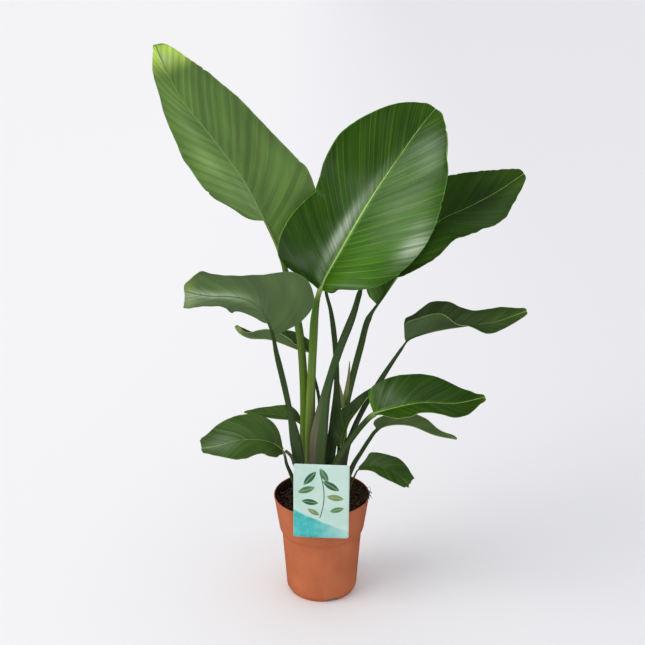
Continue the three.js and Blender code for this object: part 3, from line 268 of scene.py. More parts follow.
FINISH = {
  "leaf_tall_left": dict(
    pleated=True, under=(1.1, 1.13, 0.92), light=[(0.45, 0.55, 0.3, 0.4, 0.4)],
    painted_sheen_under=[(0.94, -0.1, 0.03, 0.5, 0.4), (0.55, 0.45, 0.2, 0.2, 0.16), (0.3, 0.6, 0.1, 0.3, 0.1),
      (0.25, 0.14, 0.18, 0.12, 0.2)], ribs=0.55, ripple=0.8,
    # its strong pale_tip is painted light shining through the tip, on top of the tip's own paler colour
    nicks=[(-1, 0.3, 2.5), (1, 0.33, 3), (-1, 0.82, 2)], pale_tip=1.1, pale_rib=0.3, rib=1.2,
    stalk="fresh"),
  "leaf_front_large": dict(
    skin="gloss", under=(0.9, 0.95, 0.8),
    light=[(0.12, 0.45, 0.22, 0.5, 1.2), (0.5, 0.5, 0.25, 0.5, 0.8), (0.9, -0.2, 0.15, 0.6, -0.15)],
    painted_sheen=[(0.3, -0.15, 0.13, 0.08, 1.3), (0.1, -0.12, 0.1, 0.1, 0.3), (0.52, -0.07, 0.15, 0.07, 0.3),
      (0.8, 0.5, 0.1, 0.3, 0.24), (0.55, 0.5, 0.14, 0.35, 0.16), (0.38, 0.88, 0.1, 0.16, 0.8),
      (0.08, 0.75, 0.06, 0.3, 0.2)], ribs=0.22, arch=5, nicks=[(1, 0.62, 2.5), (1, 0.93, 3), (-1, 0.36, 2)],
    roll=(1, 0.8, 0.97, 0.9, 150), pale_margin=2.5, pale_rib=3, rib=1.4, wide_rib=1.6, stalk="bright"),
  "leaf_upper_right": dict(
    skin="matt", upper=(0.95, 0.98, 1), under=(0.8, 0.85, 0.8),
    light=[(0.1, -0.6, 0.06, 0.5, 1.8), (0.45, 0.7, 0.2, 0.4, 0.7), (0.85, -0.1, 0.2, 0.6, -0.3)],
    painted_sheen=[(0.1, -0.6, 0.05, 0.4, 0.06), (0.8, 0.6, 0.2, 0.5, 0.05), (0.4, 0.8, 0.15, 0.3, 0.03)], ribs=0.3,
    ripple=1.2, ragged=1.6, nicks=[(-1, 0.7, 2)], late=70, stalk="green"),
  "leaf_left_arching": dict(
    upper=(0.9, 1, 1), under=(0.8, 0.82, 0.92), light=[(0.65, -0.05, 0.22, 0.3, 0.6)],
    painted_sheen_under=[(0.68, 0.05, 0.26, 0.2, 1.0), (0.95, 0.3, 0.14, 0.5, 0.4), (0.5, 0.6, 0.3, 0.4, 0.1)],
    ribs=0.12, ripple=0.8, pale_tip=0.35, rib=0.7, late=30),
  "leaf_back_left": dict(
    upper=(0.8, 0.85, 1), under=(0.98, 0.95, 1.3), ribs=0.1, ripple=0.5),
  "leaf_right_arching": dict(
    upper=(0.85, 0.85, 1.1), under=(0.62, 0.64, 0.75), painted_sheen=[(0.5, 0.0, 0.3, 0.8, 0.05)], ripple=0.8,
    burnt=0.03, rib=0.7, late=60),
  "leaf_right_middle": dict(
    skin="gloss", upper=(0.8, 0.74, 1.3), under=(0.8, 0.8, 0.9),
    light=[(0.0, 0.0, 0.05, 1.5, 1.2), (0.8, -0.3, 0.25, 0.6, -0.25), (0.35, 0.8, 0.25, 0.4, 0.3)],
    painted_sheen=[(0.15, -0.5, 0.12, 0.4, 0.1), (0.5, 0.0, 0.3, 0.8, 0.03)], ribs=0.25, ripple=0.7, burnt=0.05,
    pale_rib=2),
  "leaf_right_under": dict(
    upper=(0.8, 0.8, 1), under=(0.72, 0.74, 0.6), ribs=0.15, late=20),
  "leaf_low_right": dict(
    upper=(0.85, 1.0, 0.6), under=(0.8, 0.8, 0.9), ribs=0.15, ripple=0.4, torn=5, rib=0.4),
  "leaf_low_left": dict(
    upper=(1.15, 1.12, 1.4), under=(0.9, 0.9, 1.1), painted_sheen=[(0.8, 0.0, 0.2, 0.5, 0.28)],
    painted_sheen_under=[(0.8, 0.0, 0.2, 0.5, 0.16)], torn=2),
  "leaf_low_left_rear": dict(
    upper=(1.15, 1.15, 1.5), under=(1, 1, 1.2), ribs=0.1, ripple=0.5, rib=0.8),
  "leaf_inner_right": dict(
    upper=(0.7, 0.7, 1), under=(0.47, 0.5, 0.6), ribs=0.1, ripple=0.4),
  "leaf_rear_left": dict(
    upper=(0.9, 0.9, 1), ribs=0.25, ripple=0.8, late=40),
  "leaf_rear_centre": dict(
    upper=(0.85, 0.9, 1), ribs=0.25, late=40, stalk="sheathed", flank=-1),
}


# ---- small helpers --------------------------------------------------------------------------
def mix(a, b, k):
    return a + (b - a) * k


def smooth(x):
    k = min(1.0, max(0.0, x))
    return k * k * (3 - 2 * k)


def along(values, u):
    """Evenly spaced values blended smoothly from the first to the last."""
    x = min(0.999999, max(0.0, u)) * (len(values) - 1)
    i = int(x)
    return mix(values[i], values[i + 1], smooth(x - i))


def rough(x, y=0.0, z=0.0):
    """A smooth random value of about -1 to 1."""
    return noise.noise(Vector((x, y, z)))


class Line:
    """A smooth line through a few points, measured by its length."""

    STEPS = 24

    def __init__(self, points):
        p = [Vector(q) for q in points]
        ends = [p[0] * 2 - p[1], *p, p[-1] * 2 - p[-2]]
        self.at = []
        for i in range(len(p) - 1):
            self.at += [self.span(ends[i : i + 4], k / self.STEPS) for k in range(self.STEPS)]
        self.at.append(p[-1])
        self.run = [0.0]
        for a, b in zip(self.at, self.at[1:]):
            self.run.append(self.run[-1] + (b - a).length)
        self.length = self.run[-1]

    @staticmethod
    def span(q, t):
        """The place t of the way from q[1] to q[2] on a centripetal curve."""
        d = [max(1e-4, (b - a).length_squared ** 0.25) for a, b in zip(q, q[1:])]
        m1 = (q[1] - q[0]) / d[0] - (q[2] - q[0]) / (d[0] + d[1]) + (q[2] - q[1]) / d[1]
        m2 = (q[2] - q[1]) / d[1] - (q[3] - q[1]) / (d[1] + d[2]) + (q[3] - q[2]) / d[2]
        m1, m2 = m1 * d[1], m2 * d[1]
        a = 2 * q[1] - 2 * q[2] + m1 + m2
        b = -3 * q[1] + 3 * q[2] - 2 * m1 - m2
        return q[1] + t * (m1 + t * (b + t * a))

    def knot(self, k):
        """How far along the line its point number k is."""
        return self.run[k * self.STEPS]

    def point(self, s):
        want = min(self.length, max(0.0, s))
        i = min(len(self.run) - 2, bisect_right(self.run, want) - 1)
        k = (want - self.run[i]) / max(1e-9, self.run[i + 1] - self.run[i])
        return self.at[i].lerp(self.at[i + 1], k)

    def frame(self, s, face):
        """Place, direction, up and side at s, with up as near to face as it can be."""
        t = (self.point(s + 4) - self.point(s - 4)).normalized()
        f = Vector(face)
        up = (f - t * t.dot(f)).normalized()
        return self.point(s), t, up, t.cross(up)


def half_width(pairs, u):
    """Half width of a blade at u, through [place, width] pairs; its square runs smoothly."""
    last = len(pairs) - 1
    if u < pairs[0][0] or u > pairs[last][0]:
        return 0.0
    x = [e[0] for e in pairs]
    y = [e[1] ** 2 for e in pairs]
    h = [b - a for a, b in zip(x, x[1:])]
    d = [(b - a) / w for a, b, w in zip(y, y[1:], h)]

    def slope(k):
        if k == 0:
            return d[0] * 1.6
        if k == last:
            return d[-1] * 1.6
        if d[k - 1] * d[k] <= 0:
            return 0.0
        a, b = 2 * h[k] + h[k - 1], h[k] + 2 * h[k - 1]
        return (a + b) / (a / d[k - 1] + b / d[k])

    i = min(last - 1, bisect_right(x, u) - 1)
    t = (u - x[i]) / h[i]
    square = (
        y[i] * (2 * t**3 - 3 * t * t + 1)
        + h[i] * slope(i) * (t**3 - 2 * t * t + t)
        + y[i + 1] * (3 * t * t - 2 * t**3)
        + h[i] * slope(i + 1) * (t**3 - t * t)
    )
    return math.sqrt(max(0.0, square))


# ---- meshes ---------------------------------------------------------------------------------
CHART = "UVMap"


def place_grid(bm, rows, cols, where, uv=None, paint=None, tones=("tone",), close=False):
    """A grid of rows x cols faces whose corners go where where(i, j) says, in millimetres.

    uv(i, j) gives its map and paint(i, j) one colour for each of the tones. close joins the
    first column to the last.
    """
    chart = chart_layer(bm) if uv else None
    layers = [tone_layer(bm, name) for name in tones] if paint else []
    made = bmesh.ops.create_grid(bm, x_segments=rows, y_segments=cols, size=1)["verts"]
    spot = {}
    for v in made:
        i, j = round((v.co.x + 1) / 2 * rows), round((v.co.y + 1) / 2 * cols)
        spot[v] = (i, j)
        v.co = where(i, j) * MM
    faces = {f for v in made for f in v.link_faces}
    if uv:
        for f in faces:
            for corner in f.loops:
                corner[chart].uv = uv(*spot[corner.vert])
    if paint:
        for v in made:
            for tone, colour in zip(layers, paint(*spot[v])):
                v[tone] = (*colour, 1)[:4]  # a blade's colours bring their painted sheen as the fourth value
    if close:
        bmesh.ops.remove_doubles(bm, verts=made, dist=1e-7)


def chart_layer(bm):
    layers = bm.loops.layers.uv
    return layers.get(CHART) or layers.new(CHART)


def tone_layer(bm, name):
    layers = bm.verts.layers.float_color
    return layers.get(name) or layers.new(name)


def tube(bm, rings, sides, paint=None):
    """A closed bar along rings of (middle, side, up, half width, half depth up, half depth down,
    groove, length so far). groove is how deep its upper side is hollowed, as a share."""
    start = set(bm.verts)

    def where(i, j):
        at, side, up, a, high, low, groove, _ = rings[i]
        turn = 2 * math.pi * j / sides
        x, z = math.cos(turn), math.sin(turn)
        hollow = groove * math.exp(-((x / 0.45) ** 2)) if z > 0 else 0.0
        return at + side * (a * x) + up * ((high if z > 0 else low) * (z - hollow))

    def uv(i, j):
        return (rings[i][7] * MM, j / sides)

    place_grid(bm, len(rings) - 1, sides, where, uv, paint, close=True)
    rim = [e for e in bm.edges if e.is_boundary and e.verts[0] not in start]
    bmesh.ops.holes_fill(bm, edges=rim, sides=0)
    bmesh.ops.recalc_face_normals(bm, faces=[f for f in bm.faces if f.verts[0] not in start])


def finished(bm, name):
    """The mesh that a bmesh has become."""
    mesh = bpy.data.meshes.new(name)
    bm.to_mesh(mesh)
    bm.free()
    return mesh


def added(name, data):
    """A new object in the scene."""
    obj = bpy.data.objects.new(name, data)
    bpy.context.scene.collection.objects.link(obj)
    return obj


def piece(bm, name, materials, replaced, sharp=40):
    """The finished bmesh as a piece of the object that stands for the replaced nodes."""
    mesh = finished(bm, name)
    for material in materials:
        mesh.materials.append(material)
    mesh.shade_smooth()
    mesh.set_sharp_from_angle(angle=math.radians(sharp))
    obj = added(name, mesh)
    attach(obj, "root")
    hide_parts(*replaced)
    return obj


# ---- materials ------------------------------------------------------------------------------
MIDRIB_UPPER = (0.33, 0.46, 0.12)
MIDRIB_UNDER = (0.17, 0.27, 0.07)
# painted sheen: the pale colour that stands in for highlights on the blades
PAINTED_SHEEN = (0.40, 0.50, 0.34)
VEIN_PITCH = 0.0105  # metres between the pale veins of a blade
SHEATH_EDGE = (0.09, 0.04, 0.035)
TONGUE_TONES = [(0.19, 0.28, 0.07), (0.3, 0.23, 0.1)]  # of the loose tip of a sheath, base and tip


class Finish:
    """A material and the nodes that make it."""

    def __init__(self, name, colour, roughness, **sockets):
        self.material = bpy.data.materials.new(name)
        self.material.use_nodes = True
        self.tree = self.material.node_tree
        self.shader = self.tree.nodes["Principled BSDF"]
        self.shader.inputs["Base Color"].default_value = (*colour, 1)
        self.shader.inputs["Roughness"].default_value = roughness
        for socket, value in sockets.items():
            self.shader.inputs[socket.replace("_", " ")].default_value = value

    def node(self, kind, inputs=None, **settings):
        made = self.tree.nodes.new("ShaderNode" + kind)
        for key, value in settings.items():
            setattr(made, key, value)
        for key, value in (inputs or {}).items():
            self.feed(made.inputs[key], value)
        return made

    def feed(self, socket, value):
        if isinstance(value, bpy.types.NodeSocket):
            self.tree.links.new(value, socket)
        else:
            socket.default_value = value

    def set(self, socket, value):
        self.feed(self.shader.inputs[socket], value)

    def math(self, operation, a, b=0.0, clamp=False):
        return self.node("Math", {0: a, 1: b}, operation=operation, use_clamp=clamp).outputs[0]

    def times(self, a, b, clamp=False):
        return self.math("MULTIPLY", a, b, clamp)

    def plus(self, a, b):
        return self.math("ADD", a, b)

    def minus(self, a, b):
        return self.math("SUBTRACT", a, b)

    def unsigned(self, a):
        return self.math("ABSOLUTE", a)

    def split(self, vector):
        return self.node("SeparateXYZ", {0: vector}).outputs

    def ramp(self, value, low, high, first=0.0, second=1.0):
        """value between low and high as a number from first to second."""
        found = self.node(
            "MapRange",
            {"Value": value, "From Min": low, "From Max": high, "To Min": first, "To Max": second},
            interpolation_type="SMOOTHSTEP",
        )
        return found.outputs[0]

    def blend(self, amount, a, b, how="MIX"):
        """Colour a turned into colour b by amount."""
        a, b = [(*c, 1) if isinstance(c, tuple) and len(c) == 3 else c for c in (a, b)]
        found = self.node("Mix", {0: amount, 6: a, 7: b}, data_type="RGBA", blend_type=how)
        return found.outputs[2]

    def shaded(self, colour, shade):
        """The colour made darker or lighter by a number."""
        grey = self.node("CombineColor", {0: shade, 1: shade, 2: shade}).outputs[0]
        return self.blend(1.0, colour, grey, "MULTIPLY")

    def position(self):
        return self.node("TexCoord").outputs["Object"]

    def chart(self):
        return self.node("UVMap", uv_map=CHART).outputs[0]

    def painted(self, attribute):
        return self.node("Attribute", attribute_name=attribute).outputs

    def stretched(self, vector, scale, place=(0, 0, 0)):
        return self.node("Mapping", {"Vector": vector, "Scale": scale, "Location": place}).outputs[0]

    def cloud(self, vector, scale, detail=3.0, roughness=0.55):
        inputs = {"Vector": vector, "Scale": scale, "Detail": detail, "Roughness": roughness}
        return self.node("TexNoise", inputs).outputs[0]

    def bump(self, height, distance, strength=1.0):
        found = self.node("Bump", {"Height": height, "Distance": distance, "Strength": strength})
        self.set("Normal", found.outputs[0])


def leaf_finish(name, colour, vein, roughness, band, line, relief, pleat, coat=0.0, shine=0.5, side="tone"):
    """One side of a leaf.

    band, line and pleat say how far broad bands, thin veins and the painted light and shade of the
    pleats show, relief is the depth of its bumps in metres, and side names the attribute with its tones.
    """
    f = Finish(name, colour, roughness, Specular_IOR_Level=shine, Coat_Weight=coat, Coat_Roughness=0.28)
    place = f.chart()
    across = f.split(place)[0]
    tone, painted_sheen = f.painted(side)["Color"], f.painted(side)["Alpha"]
    fine = f.cloud(f.stretched(place, (260, 7, 0)), 1.0, 2.0)
    broad = f.cloud(f.stretched(place, (85, 4, 0), (3, 1, 0)), 1.0, 1.0)
    patch = f.cloud(f.stretched(place, (18, 14, 0), (7, 5, 0)), 1.0, 2.0)
    # thin pale veins, some stronger than others
    phase = f.math("FRACT", f.plus(f.times(across, 1 / VEIN_PITCH), f.times(patch, 0.35)))
    thin = f.ramp(f.unsigned(f.minus(phase, 0.5)), 0.02, 0.11, 1.0, 0.0)
    chosen = f.ramp(f.cloud(f.stretched(place, (48, 9, 0), (1, 9, 0)), 1.0, 2.0), 0.4, 0.58)
    thin = f.times(thin, chosen)
    tint = f.blend(f.ramp(broad, 0.38, 0.62, 0.0, band), colour, vein)
    tint = f.blend(f.ramp(fine, 0.45, 0.65, 0.0, band), tint, vein)
    tint = f.blend(f.times(thin, line), tint, vein)
    # painted light and shade: the colour rises and falls with the pleats
    fold = f.plus(f.times(across, math.tau / (RIB_PITCH * MM)), f.times(patch, 2.5))
    wave = f.ramp(f.math("SINE", fold), -1.0, 1.0, 1 - pleat, 1 + pleat)
    tint = f.shaded(tint, f.times(f.ramp(patch, 0.3, 0.7, 0.86, 1.12), wave))
    tint = f.blend(1.0, tint, tone, "MULTIPLY")
    # painted sheen: parts of the blade are painted paler where highlights lie, in streaks along the veins
    sheen_streaks = f.times(f.ramp(fine, 0.3, 0.7, 0.45, 1.35), f.ramp(broad, 0.35, 0.65, 0.7, 1.2))
    f.set("Base Color", f.blend(f.times(painted_sheen, sheen_streaks, clamp=True), tint, PAINTED_SHEEN))
    f.set("Roughness", f.ramp(fine, 0.2, 0.8, roughness - 0.06, roughness + 0.08))
    height = f.plus(f.times(fine, 0.5), f.times(broad, 0.5))
    f.bump(f.minus(height, f.times(thin, 0.25)), relief)
    return f.material


def stalk_finish():
    f = Finish("leaf_stalk", (0.1, 0.18, 0.03), 0.42, Specular_IOR_Level=0.45)
    place = f.chart()
    tone = f.painted("tone")["Color"]
    streak = f.cloud(f.stretched(place, (10, 30, 0)), 1.0, 3.0)
    fleck = f.cloud(f.stretched(place, (160, 60, 0)), 1.0, 2.0)
    shade = f.times(f.ramp(streak, 0.25, 0.75, 0.78, 1.2), f.ramp(fleck, 0.3, 0.7, 0.94, 1.05))
    f.set("Base Color", f.shaded(tone, shade))
    f.set("Roughness", f.ramp(streak, 0.2, 0.8, 0.36, 0.5))
    f.bump(f.cloud(f.stretched(place, (12, 70, 0)), 1.0, 2.0), 0.0003)
    return f.material


def edge_finish():
    f = Finish("leaf_margin", (0.3, 0.38, 0.1), 0.5)
    fleck = f.cloud(f.position(), 240.0, 2.0)
    f.set("Base Color", f.blend(f.ramp(fleck, 0.55, 0.7), (0.3, 0.4, 0.12), (0.2, 0.17, 0.06)))
    return f.material


# where painted shade lies on the pot, each as the two ends of a soft edge in metres
INNER_SHADE_DEPTH = (0.0008, 0.0012)  # in from the collar's outer face
INNER_SHADE_BOTTOM = (0.132, 0.138)
INNER_SHADE_TOP = (0.186, 0.193)
UNDER_SHADE_REACH = (0.0565, 0.0578)  # from the middle, under the floor
UNDER_SHADE_HEIGHT = (0.0042, 0.0055)


def pot_finish():
    f = Finish("pot_plastic", (0.6, 0.17, 0.07), 0.5, Specular_IOR_Level=0.35)
    spot = f.position()
    cloud = f.cloud(spot, 22.0, 3.0)
    flow = f.cloud(f.stretched(spot, (60, 60, 8)), 1.0, 2.0)
    grain = f.cloud(spot, 1500.0, 2.0)
    tint = f.blend(f.ramp(cloud, 0.3, 0.7), (0.48, 0.128, 0.046), (0.55, 0.152, 0.057))
    tint = f.blend(f.ramp(flow, 0.5, 0.8, 0.0, 0.2), tint, (0.6, 0.19, 0.085))
    # painted shade: the inside of the collar, the part that lies well in from its outer face, is painted dark
    x, y, z = f.split(spot)
    outer = f.plus(f.times(z, COLLAR_SLOPE), (COLLAR_FOOT_RADIUS - COLLAR_FOOT_Z * COLLAR_SLOPE) * MM)
    flat = f.node("CombineXYZ", {0: x, 1: y}).outputs[0]
    reach = f.node("VectorMath", {0: flat}, operation="LENGTH").outputs["Value"]
    inside = f.times(f.ramp(f.minus(outer, reach), *INNER_SHADE_DEPTH), f.ramp(z, *INNER_SHADE_BOTTOM))
    low = f.ramp(f.plus(z, f.times(cloud, 0.008)), *INNER_SHADE_TOP, 1.0, 0.5)
    tint = f.blend(f.times(inside, low), tint, (0.05, 0.018, 0.009))
    # painted shade: the hollow under the floor is painted dark, as seen through the notches
    under = f.times(f.ramp(reach, *UNDER_SHADE_REACH, 1.0, 0.0), f.ramp(z, *UNDER_SHADE_HEIGHT, 1.0, 0.0))
    tint = f.blend(under, tint, (0.03, 0.012, 0.008))
    f.set("Base Color", tint)
    f.set("Roughness", f.ramp(cloud, 0.3, 0.7, 0.44, 0.56))
    f.bump(f.plus(f.times(grain, 0.4), flow), 0.00012)
    return f.material


def soil_finish():
    f = Finish("peat", (0.02, 0.014, 0.008), 0.95, Specular_IOR_Level=0.2)
    spot = f.position()
    lump = f.cloud(spot, 120.0, 5.0, 0.7)
    grain = f.cloud(spot, 700.0, 3.0, 0.7)
    tint = f.blend(f.ramp(lump, 0.35, 0.7), (0.008, 0.006, 0.004), (0.05, 0.03, 0.016))
    tint = f.blend(f.ramp(grain, 0.58, 0.72), tint, (0.15, 0.105, 0.065))
    f.set("Base Color", tint)
    f.bump(f.plus(lump, f.times(grain, 0.5)), 0.003)
    return f.material


def crumb_finish():
    f = Finish("soil_crumb", (0.05, 0.03, 0.02), 0.95, Specular_IOR_Level=0.2)
    tone = f.painted("tone")["Color"]
    grain = f.cloud(f.position(), 900.0, 3.0, 0.7)
    f.set("Base Color", f.shaded(tone, f.ramp(grain, 0.3, 0.7, 0.6, 1.3)))
    f.bump(grain, 0.0006)
    return f.material


SPRAY = [  # the printed leaves: middle x and z, half length and half width in metres, turn and tone
    (-0.020, 0.262, 0.017, 0.0060, 50, 0), (0.004, 0.268, 0.015, 0.0056, 118, 1),
    (-0.026, 0.240, 0.016, 0.0060, 20, 1), (0.016, 0.248, 0.017, 0.0062, 148, 0),
    (-0.020, 0.217, 0.015, 0.0056, -8, 0), (0.023, 0.226, 0.015, 0.0058, 172, 2),
    (0.026, 0.203, 0.013, 0.0050, 196, 1), (-0.014, 0.198, 0.012, 0.0046, -30, 2),
]
SPRAY_TONES = [(0.03, 0.13, 0.06), (0.06, 0.2, 0.09), (0.26, 0.35, 0.12)]
STEM_MIDDLE = (0.004, 0.23)  # x and z
STEM_BEND = -4.0
STEM_EDGE = (0.0006, 0.0010)
STEM_FOOT = (0.186, 0.188)
STEM_TIP = (0.270, 0.274)
WASH_SLOPE = -0.42  # of the washed corner's edge
WASH_Z = 0.1745  # its height at the card's middle


def label_finish():
    """Printed card: pale mint, a washed teal corner and a loose arrangement of plain leaves."""
    f = Finish("printed_card", (0.56, 0.75, 0.66), 0.38, Specular_IOR_Level=0.4)
    spot = f.position()
    x, _, z = f.split(spot)
    wash = f.cloud(spot, 26.0, 4.0, 0.6)
    paper = f.ramp(f.cloud(spot, 90.0, 3.0), 0.3, 0.7)
    tint = f.blend(f.ramp(wash, 0.3, 0.7), (0.53, 0.74, 0.65), (0.62, 0.8, 0.72))
    # the washed corner: its edge falls from left to right
    edge = f.plus(f.times(x, WASH_SLOPE), WASH_Z)
    depth = f.minus(f.plus(edge, f.times(wash, 0.018)), z)
    teal = f.blend(paper, (0.03, 0.44, 0.44), (0.1, 0.58, 0.54))
    amount = f.times(f.ramp(depth, 0.0, 0.007), f.ramp(x, -0.02, 0.055, 1.0, 0.25))
    tint = f.blend(amount, tint, teal)
    # a thin bent stem
    bend = f.times(f.minus(z, STEM_MIDDLE[1]), f.minus(z, STEM_MIDDLE[1]))
    stem = f.unsigned(f.minus(f.minus(x, STEM_MIDDLE[0]), f.times(bend, STEM_BEND)))
    shown = f.times(f.ramp(stem, *STEM_EDGE, 1.0, 0.0), f.ramp(z, *STEM_FOOT))
    shown = f.times(shown, f.ramp(z, *STEM_TIP, 1.0, 0.0))
    tint = f.blend(shown, tint, (0.05, 0.14, 0.06))
    for middle_x, middle_z, length, width, turn, tone in SPRAY:
        c, s = math.cos(math.radians(turn)), math.sin(math.radians(turn))
        dx, dz = f.minus(x, middle_x), f.minus(z, middle_z)
        p = f.plus(f.times(dx, c / length), f.times(dz, s / length))
        q = f.unsigned(f.plus(f.times(dx, -s / width), f.times(dz, c / width)))
        inside = f.ramp(f.plus(f.times(p, p), q), 0.94, 1.04, 1.0, 0.0)
        leaf = f.blend(f.times(paper, 0.4), SPRAY_TONES[tone], SPRAY_TONES[(tone + 1) % 3])
        tint = f.blend(inside, tint, f.blend(f.ramp(q, 0.05, 0.14, 0.55, 0.0), leaf, (0.5, 0.62, 0.4)))
    f.set("Base Color", tint)
    f.bump(f.cloud(spot, 400.0, 2.0), 0.00004)
    return f.material


def bare_card_finish():
    """The card's unprinted back and its cut edges."""
    f = Finish("bare_card", (0.78, 0.8, 0.79), 0.6)
    spot = f.position()
    fleck = f.ramp(f.cloud(spot, 260.0, 3.0), 0.35, 0.65)
    f.set("Base Color", f.blend(fleck, (0.75, 0.77, 0.76), (0.8, 0.82, 0.81)))
    f.bump(f.cloud(spot, 700.0, 2.0), 0.00005)
    return f.material


def old_stalk_finish():
    f = Finish("old_stalk", (0.12, 0.15, 0.05), 0.6)
    spot = f.position()
    streak = f.cloud(f.stretched(spot, (500, 500, 22)), 1.0, 3.0)
    tint = f.blend(f.ramp(streak, 0.3, 0.7), (0.04, 0.08, 0.02), (0.08, 0.13, 0.04))
    cut_end = f.ramp(f.split(spot)[2], 0.295, 0.303)  # metres above the surface
    f.set("Base Color", f.blend(cut_end, tint, (0.12, 0.1, 0.04)))
    f.bump(streak, 0.0004)
    return f.material


# ---- leaves ---------------------------------------------------------------------------------
STALK_TONES = {  # foot, middle and top of the stalk, and the flank of its foot that differs
  "fresh": [(0.12, 0.20, 0.02), (0.10, 0.18, 0.008), (0.085, 0.16, 0.03), None],
  "bright": [(0.21, 0.29, 0.055), (0.15, 0.245, 0.03), (0.062, 0.155, 0.004), (0.13, 0.085, 0.055)],
  "green": [(0.075, 0.14, 0.03), (0.08, 0.15, 0.03), (0.032, 0.07, 0.012), None],
  "dark": [(0.05, 0.095, 0.03), (0.045, 0.085, 0.022), (0.032, 0.07, 0.012), None],
  "sheathed": [(0.11, 0.16, 0.05), (0.05, 0.105, 0.022), (0.032, 0.07, 0.012), (0.18, 0.17, 0.10)],
}


def tinted(a, b, k):
    return tuple(mix(x, y, k) for x, y in zip(a, b))


class Leaf:
    """A leaf's blade, and its stalk with the midrib."""

    def __init__(self, name):
        self.name = name
        for key, value in {**COMMON_SHAPE, **LEAVES[name]}.items():
            setattr(self, key, value)
        self.look = {**COMMON_FINISH, **FINISH[name]}
        self.line = Line(self.points)
        self.neck_at = self.line.knot(self.neck)
        self.blade_length = self.line.length - self.neck_at
        self.widest = [max(q[1] for q in e) for e in (self.left, self.right)]
        self.seed = 10.0 * sorted(LEAVES).index(name)

    def frame(self, u):
        face = [along([f[i] for f in self.face], u) for i in range(3)]
        return self.line.frame(self.neck_at + u * self.blade_length, face)

    def width(self, k, u):
        """Half width of the left (0) or right (1) half, with its nicks and uneven margin."""
        w = max(0.8, half_width(self.right if k else self.left, u))
        for side, at, depth in self.look["nicks"]:
            if (side > 0) == bool(k):
                w -= depth * math.exp(-(((u - at) * self.blade_length / 2.2) ** 2))
        w += self.look["ragged"] * rough(u * self.blade_length / 9, self.seed, 5 * k) * smooth(w / 20)
        return max(0.6, w)

    def row(self, u):
        """What all places across the blade at u have in common: frame, half widths and turns."""
        turns = [[math.radians(along(e[i], u)) for e in (self.fold, self.curl)] for i in (0, 1)]
        return self.frame(u), [self.width(0, u), self.width(1, u)], turns

    def place(self, u, row, side, v):
        """The place on the blade at u along it and v across its half on side -1 or 1."""
        (at, t, up, across), widths, turns = row
        k = 1 if side > 0 else 0
        w = widths[k]
        fold, curl = turns[k]
        x, z = arc(fold, curl, v)
        turn = fold + curl * v
        if self.look["roll"]:
            which, near, far, begins, degrees = self.look["roll"]
            if which == side and v > begins:
                share = smooth((u - near + 0.06) / 0.1) * smooth((far + 0.05 - u) / 0.08)
                first = fold + curl * begins
                bend = math.radians(degrees) * share
                x, z = arc(fold, curl, begins)
                more = (v - begins) / (1 - begins)
                dx, dz = arc(first, bend, more)
                x, z = x + dx * (1 - begins), z + dz * (1 - begins)
                turn = first + bend * more
        height, count, phase = self.wave[k]
        grip = min(1.0, w / (0.5 * self.widest[k]))
        z = z * w + height * grip * v * v * math.sin(2 * math.pi * (count * u + phase))
        for which, middle, length, depth in self.dents:
            if which == side:
                z += depth * v * v * math.exp(-(((u - middle) / length) ** 2))
        s = u * self.blade_length
        q = self.vein(u, v * w)
        z += self.look["arch"] * smooth(w / 40) * (1 - math.exp(-4 * v) - v * (1 - math.exp(-4)))
        body = smooth(w / 25) * smooth(v / 0.2)
        z += self.look["ripple"] * body * v * v * rough(s / 28, self.seed + 3 * k, 1.5)
        z += 0.9 * body * rough(s / 60, side * v * w / 40 + 9, self.seed)
        ribs = self.look["ribs"] * body * (1 - 0.5 * v)
        lift = ribs * math.sin(2 * math.pi * (q / RIB_PITCH + 0.25 * rough(q / 40, self.seed)))
        lift += 0.25 * ribs * math.sin(2 * math.pi * q / FINE_RIB_PITCH)
        point = at + across * (side * x * w) + up * z
        point += t * (0.12 * w * v * v * smooth(u / 0.3))
        if self.look["torn"]:
            uneven = rough(side * v * w / 3.5, self.seed)
            point += t * (self.look["torn"] * smooth((u - 0.86) / 0.14) * uneven)
        return point + (up * math.cos(turn) - across * (side * math.sin(turn))) * lift

    def vein(self, u, d):
        """How far along the midrib the side vein that passes this place leaves it."""
        return (u * self.blade_length - VEIN_SLANT * d) / (1 + VEIN_SPREAD * d / self.blade_length)

    def tones(self, u, side, v):
        """Tone and painted sheen of the upper side and of the underside."""
        look = self.look
        spread = 1 + 0.13 * rough(u * 5, v * 2 + self.seed, 2) - 0.1 * smooth((v - 0.75) / 0.25)
        upper = [c * spread for c in look["upper"]]
        under = [c * spread for c in look["under"]]
        pale = look["pale_tip"] * smooth((u - 0.85) / 0.12)
        upper = [c * (1 + p * pale) for c, p in zip(upper, (1.0, 0.5, 0.2))]
        under = [c * (1 + p * pale) for c, p in zip(under, (3.4, 2.3, 1.6))]

        def patches(key):
            return sum(
                amount * math.exp(-(((u - at) / length) ** 2) - ((side * v - out) / wide) ** 2)
                for at, out, length, wide, amount in look[key]
            )

        # painted light and shade from the light patches, then the paler strip at the midrib and the paler
        # margin
        light = 1 + patches("light")
        if v == 0:
            light += look["pale_rib"] * (1 - u)
        elif v == 1:
            light += look["pale_margin"]
        upper = [c * light for c in upper]
        under = [c * light for c in under]
        tip = look["burnt"]
        burnt = smooth((u - 1 + tip * (0.6 + v)) / tip) * 0.6
        upper = tinted(upper, (2.4, 1.2, 1.5), burnt)
        under = tinted(under, (1.2, 0.6, 0.6), burnt)
        return (*upper, patches("painted_sheen")), (*under, patches("painted_sheen_under"))

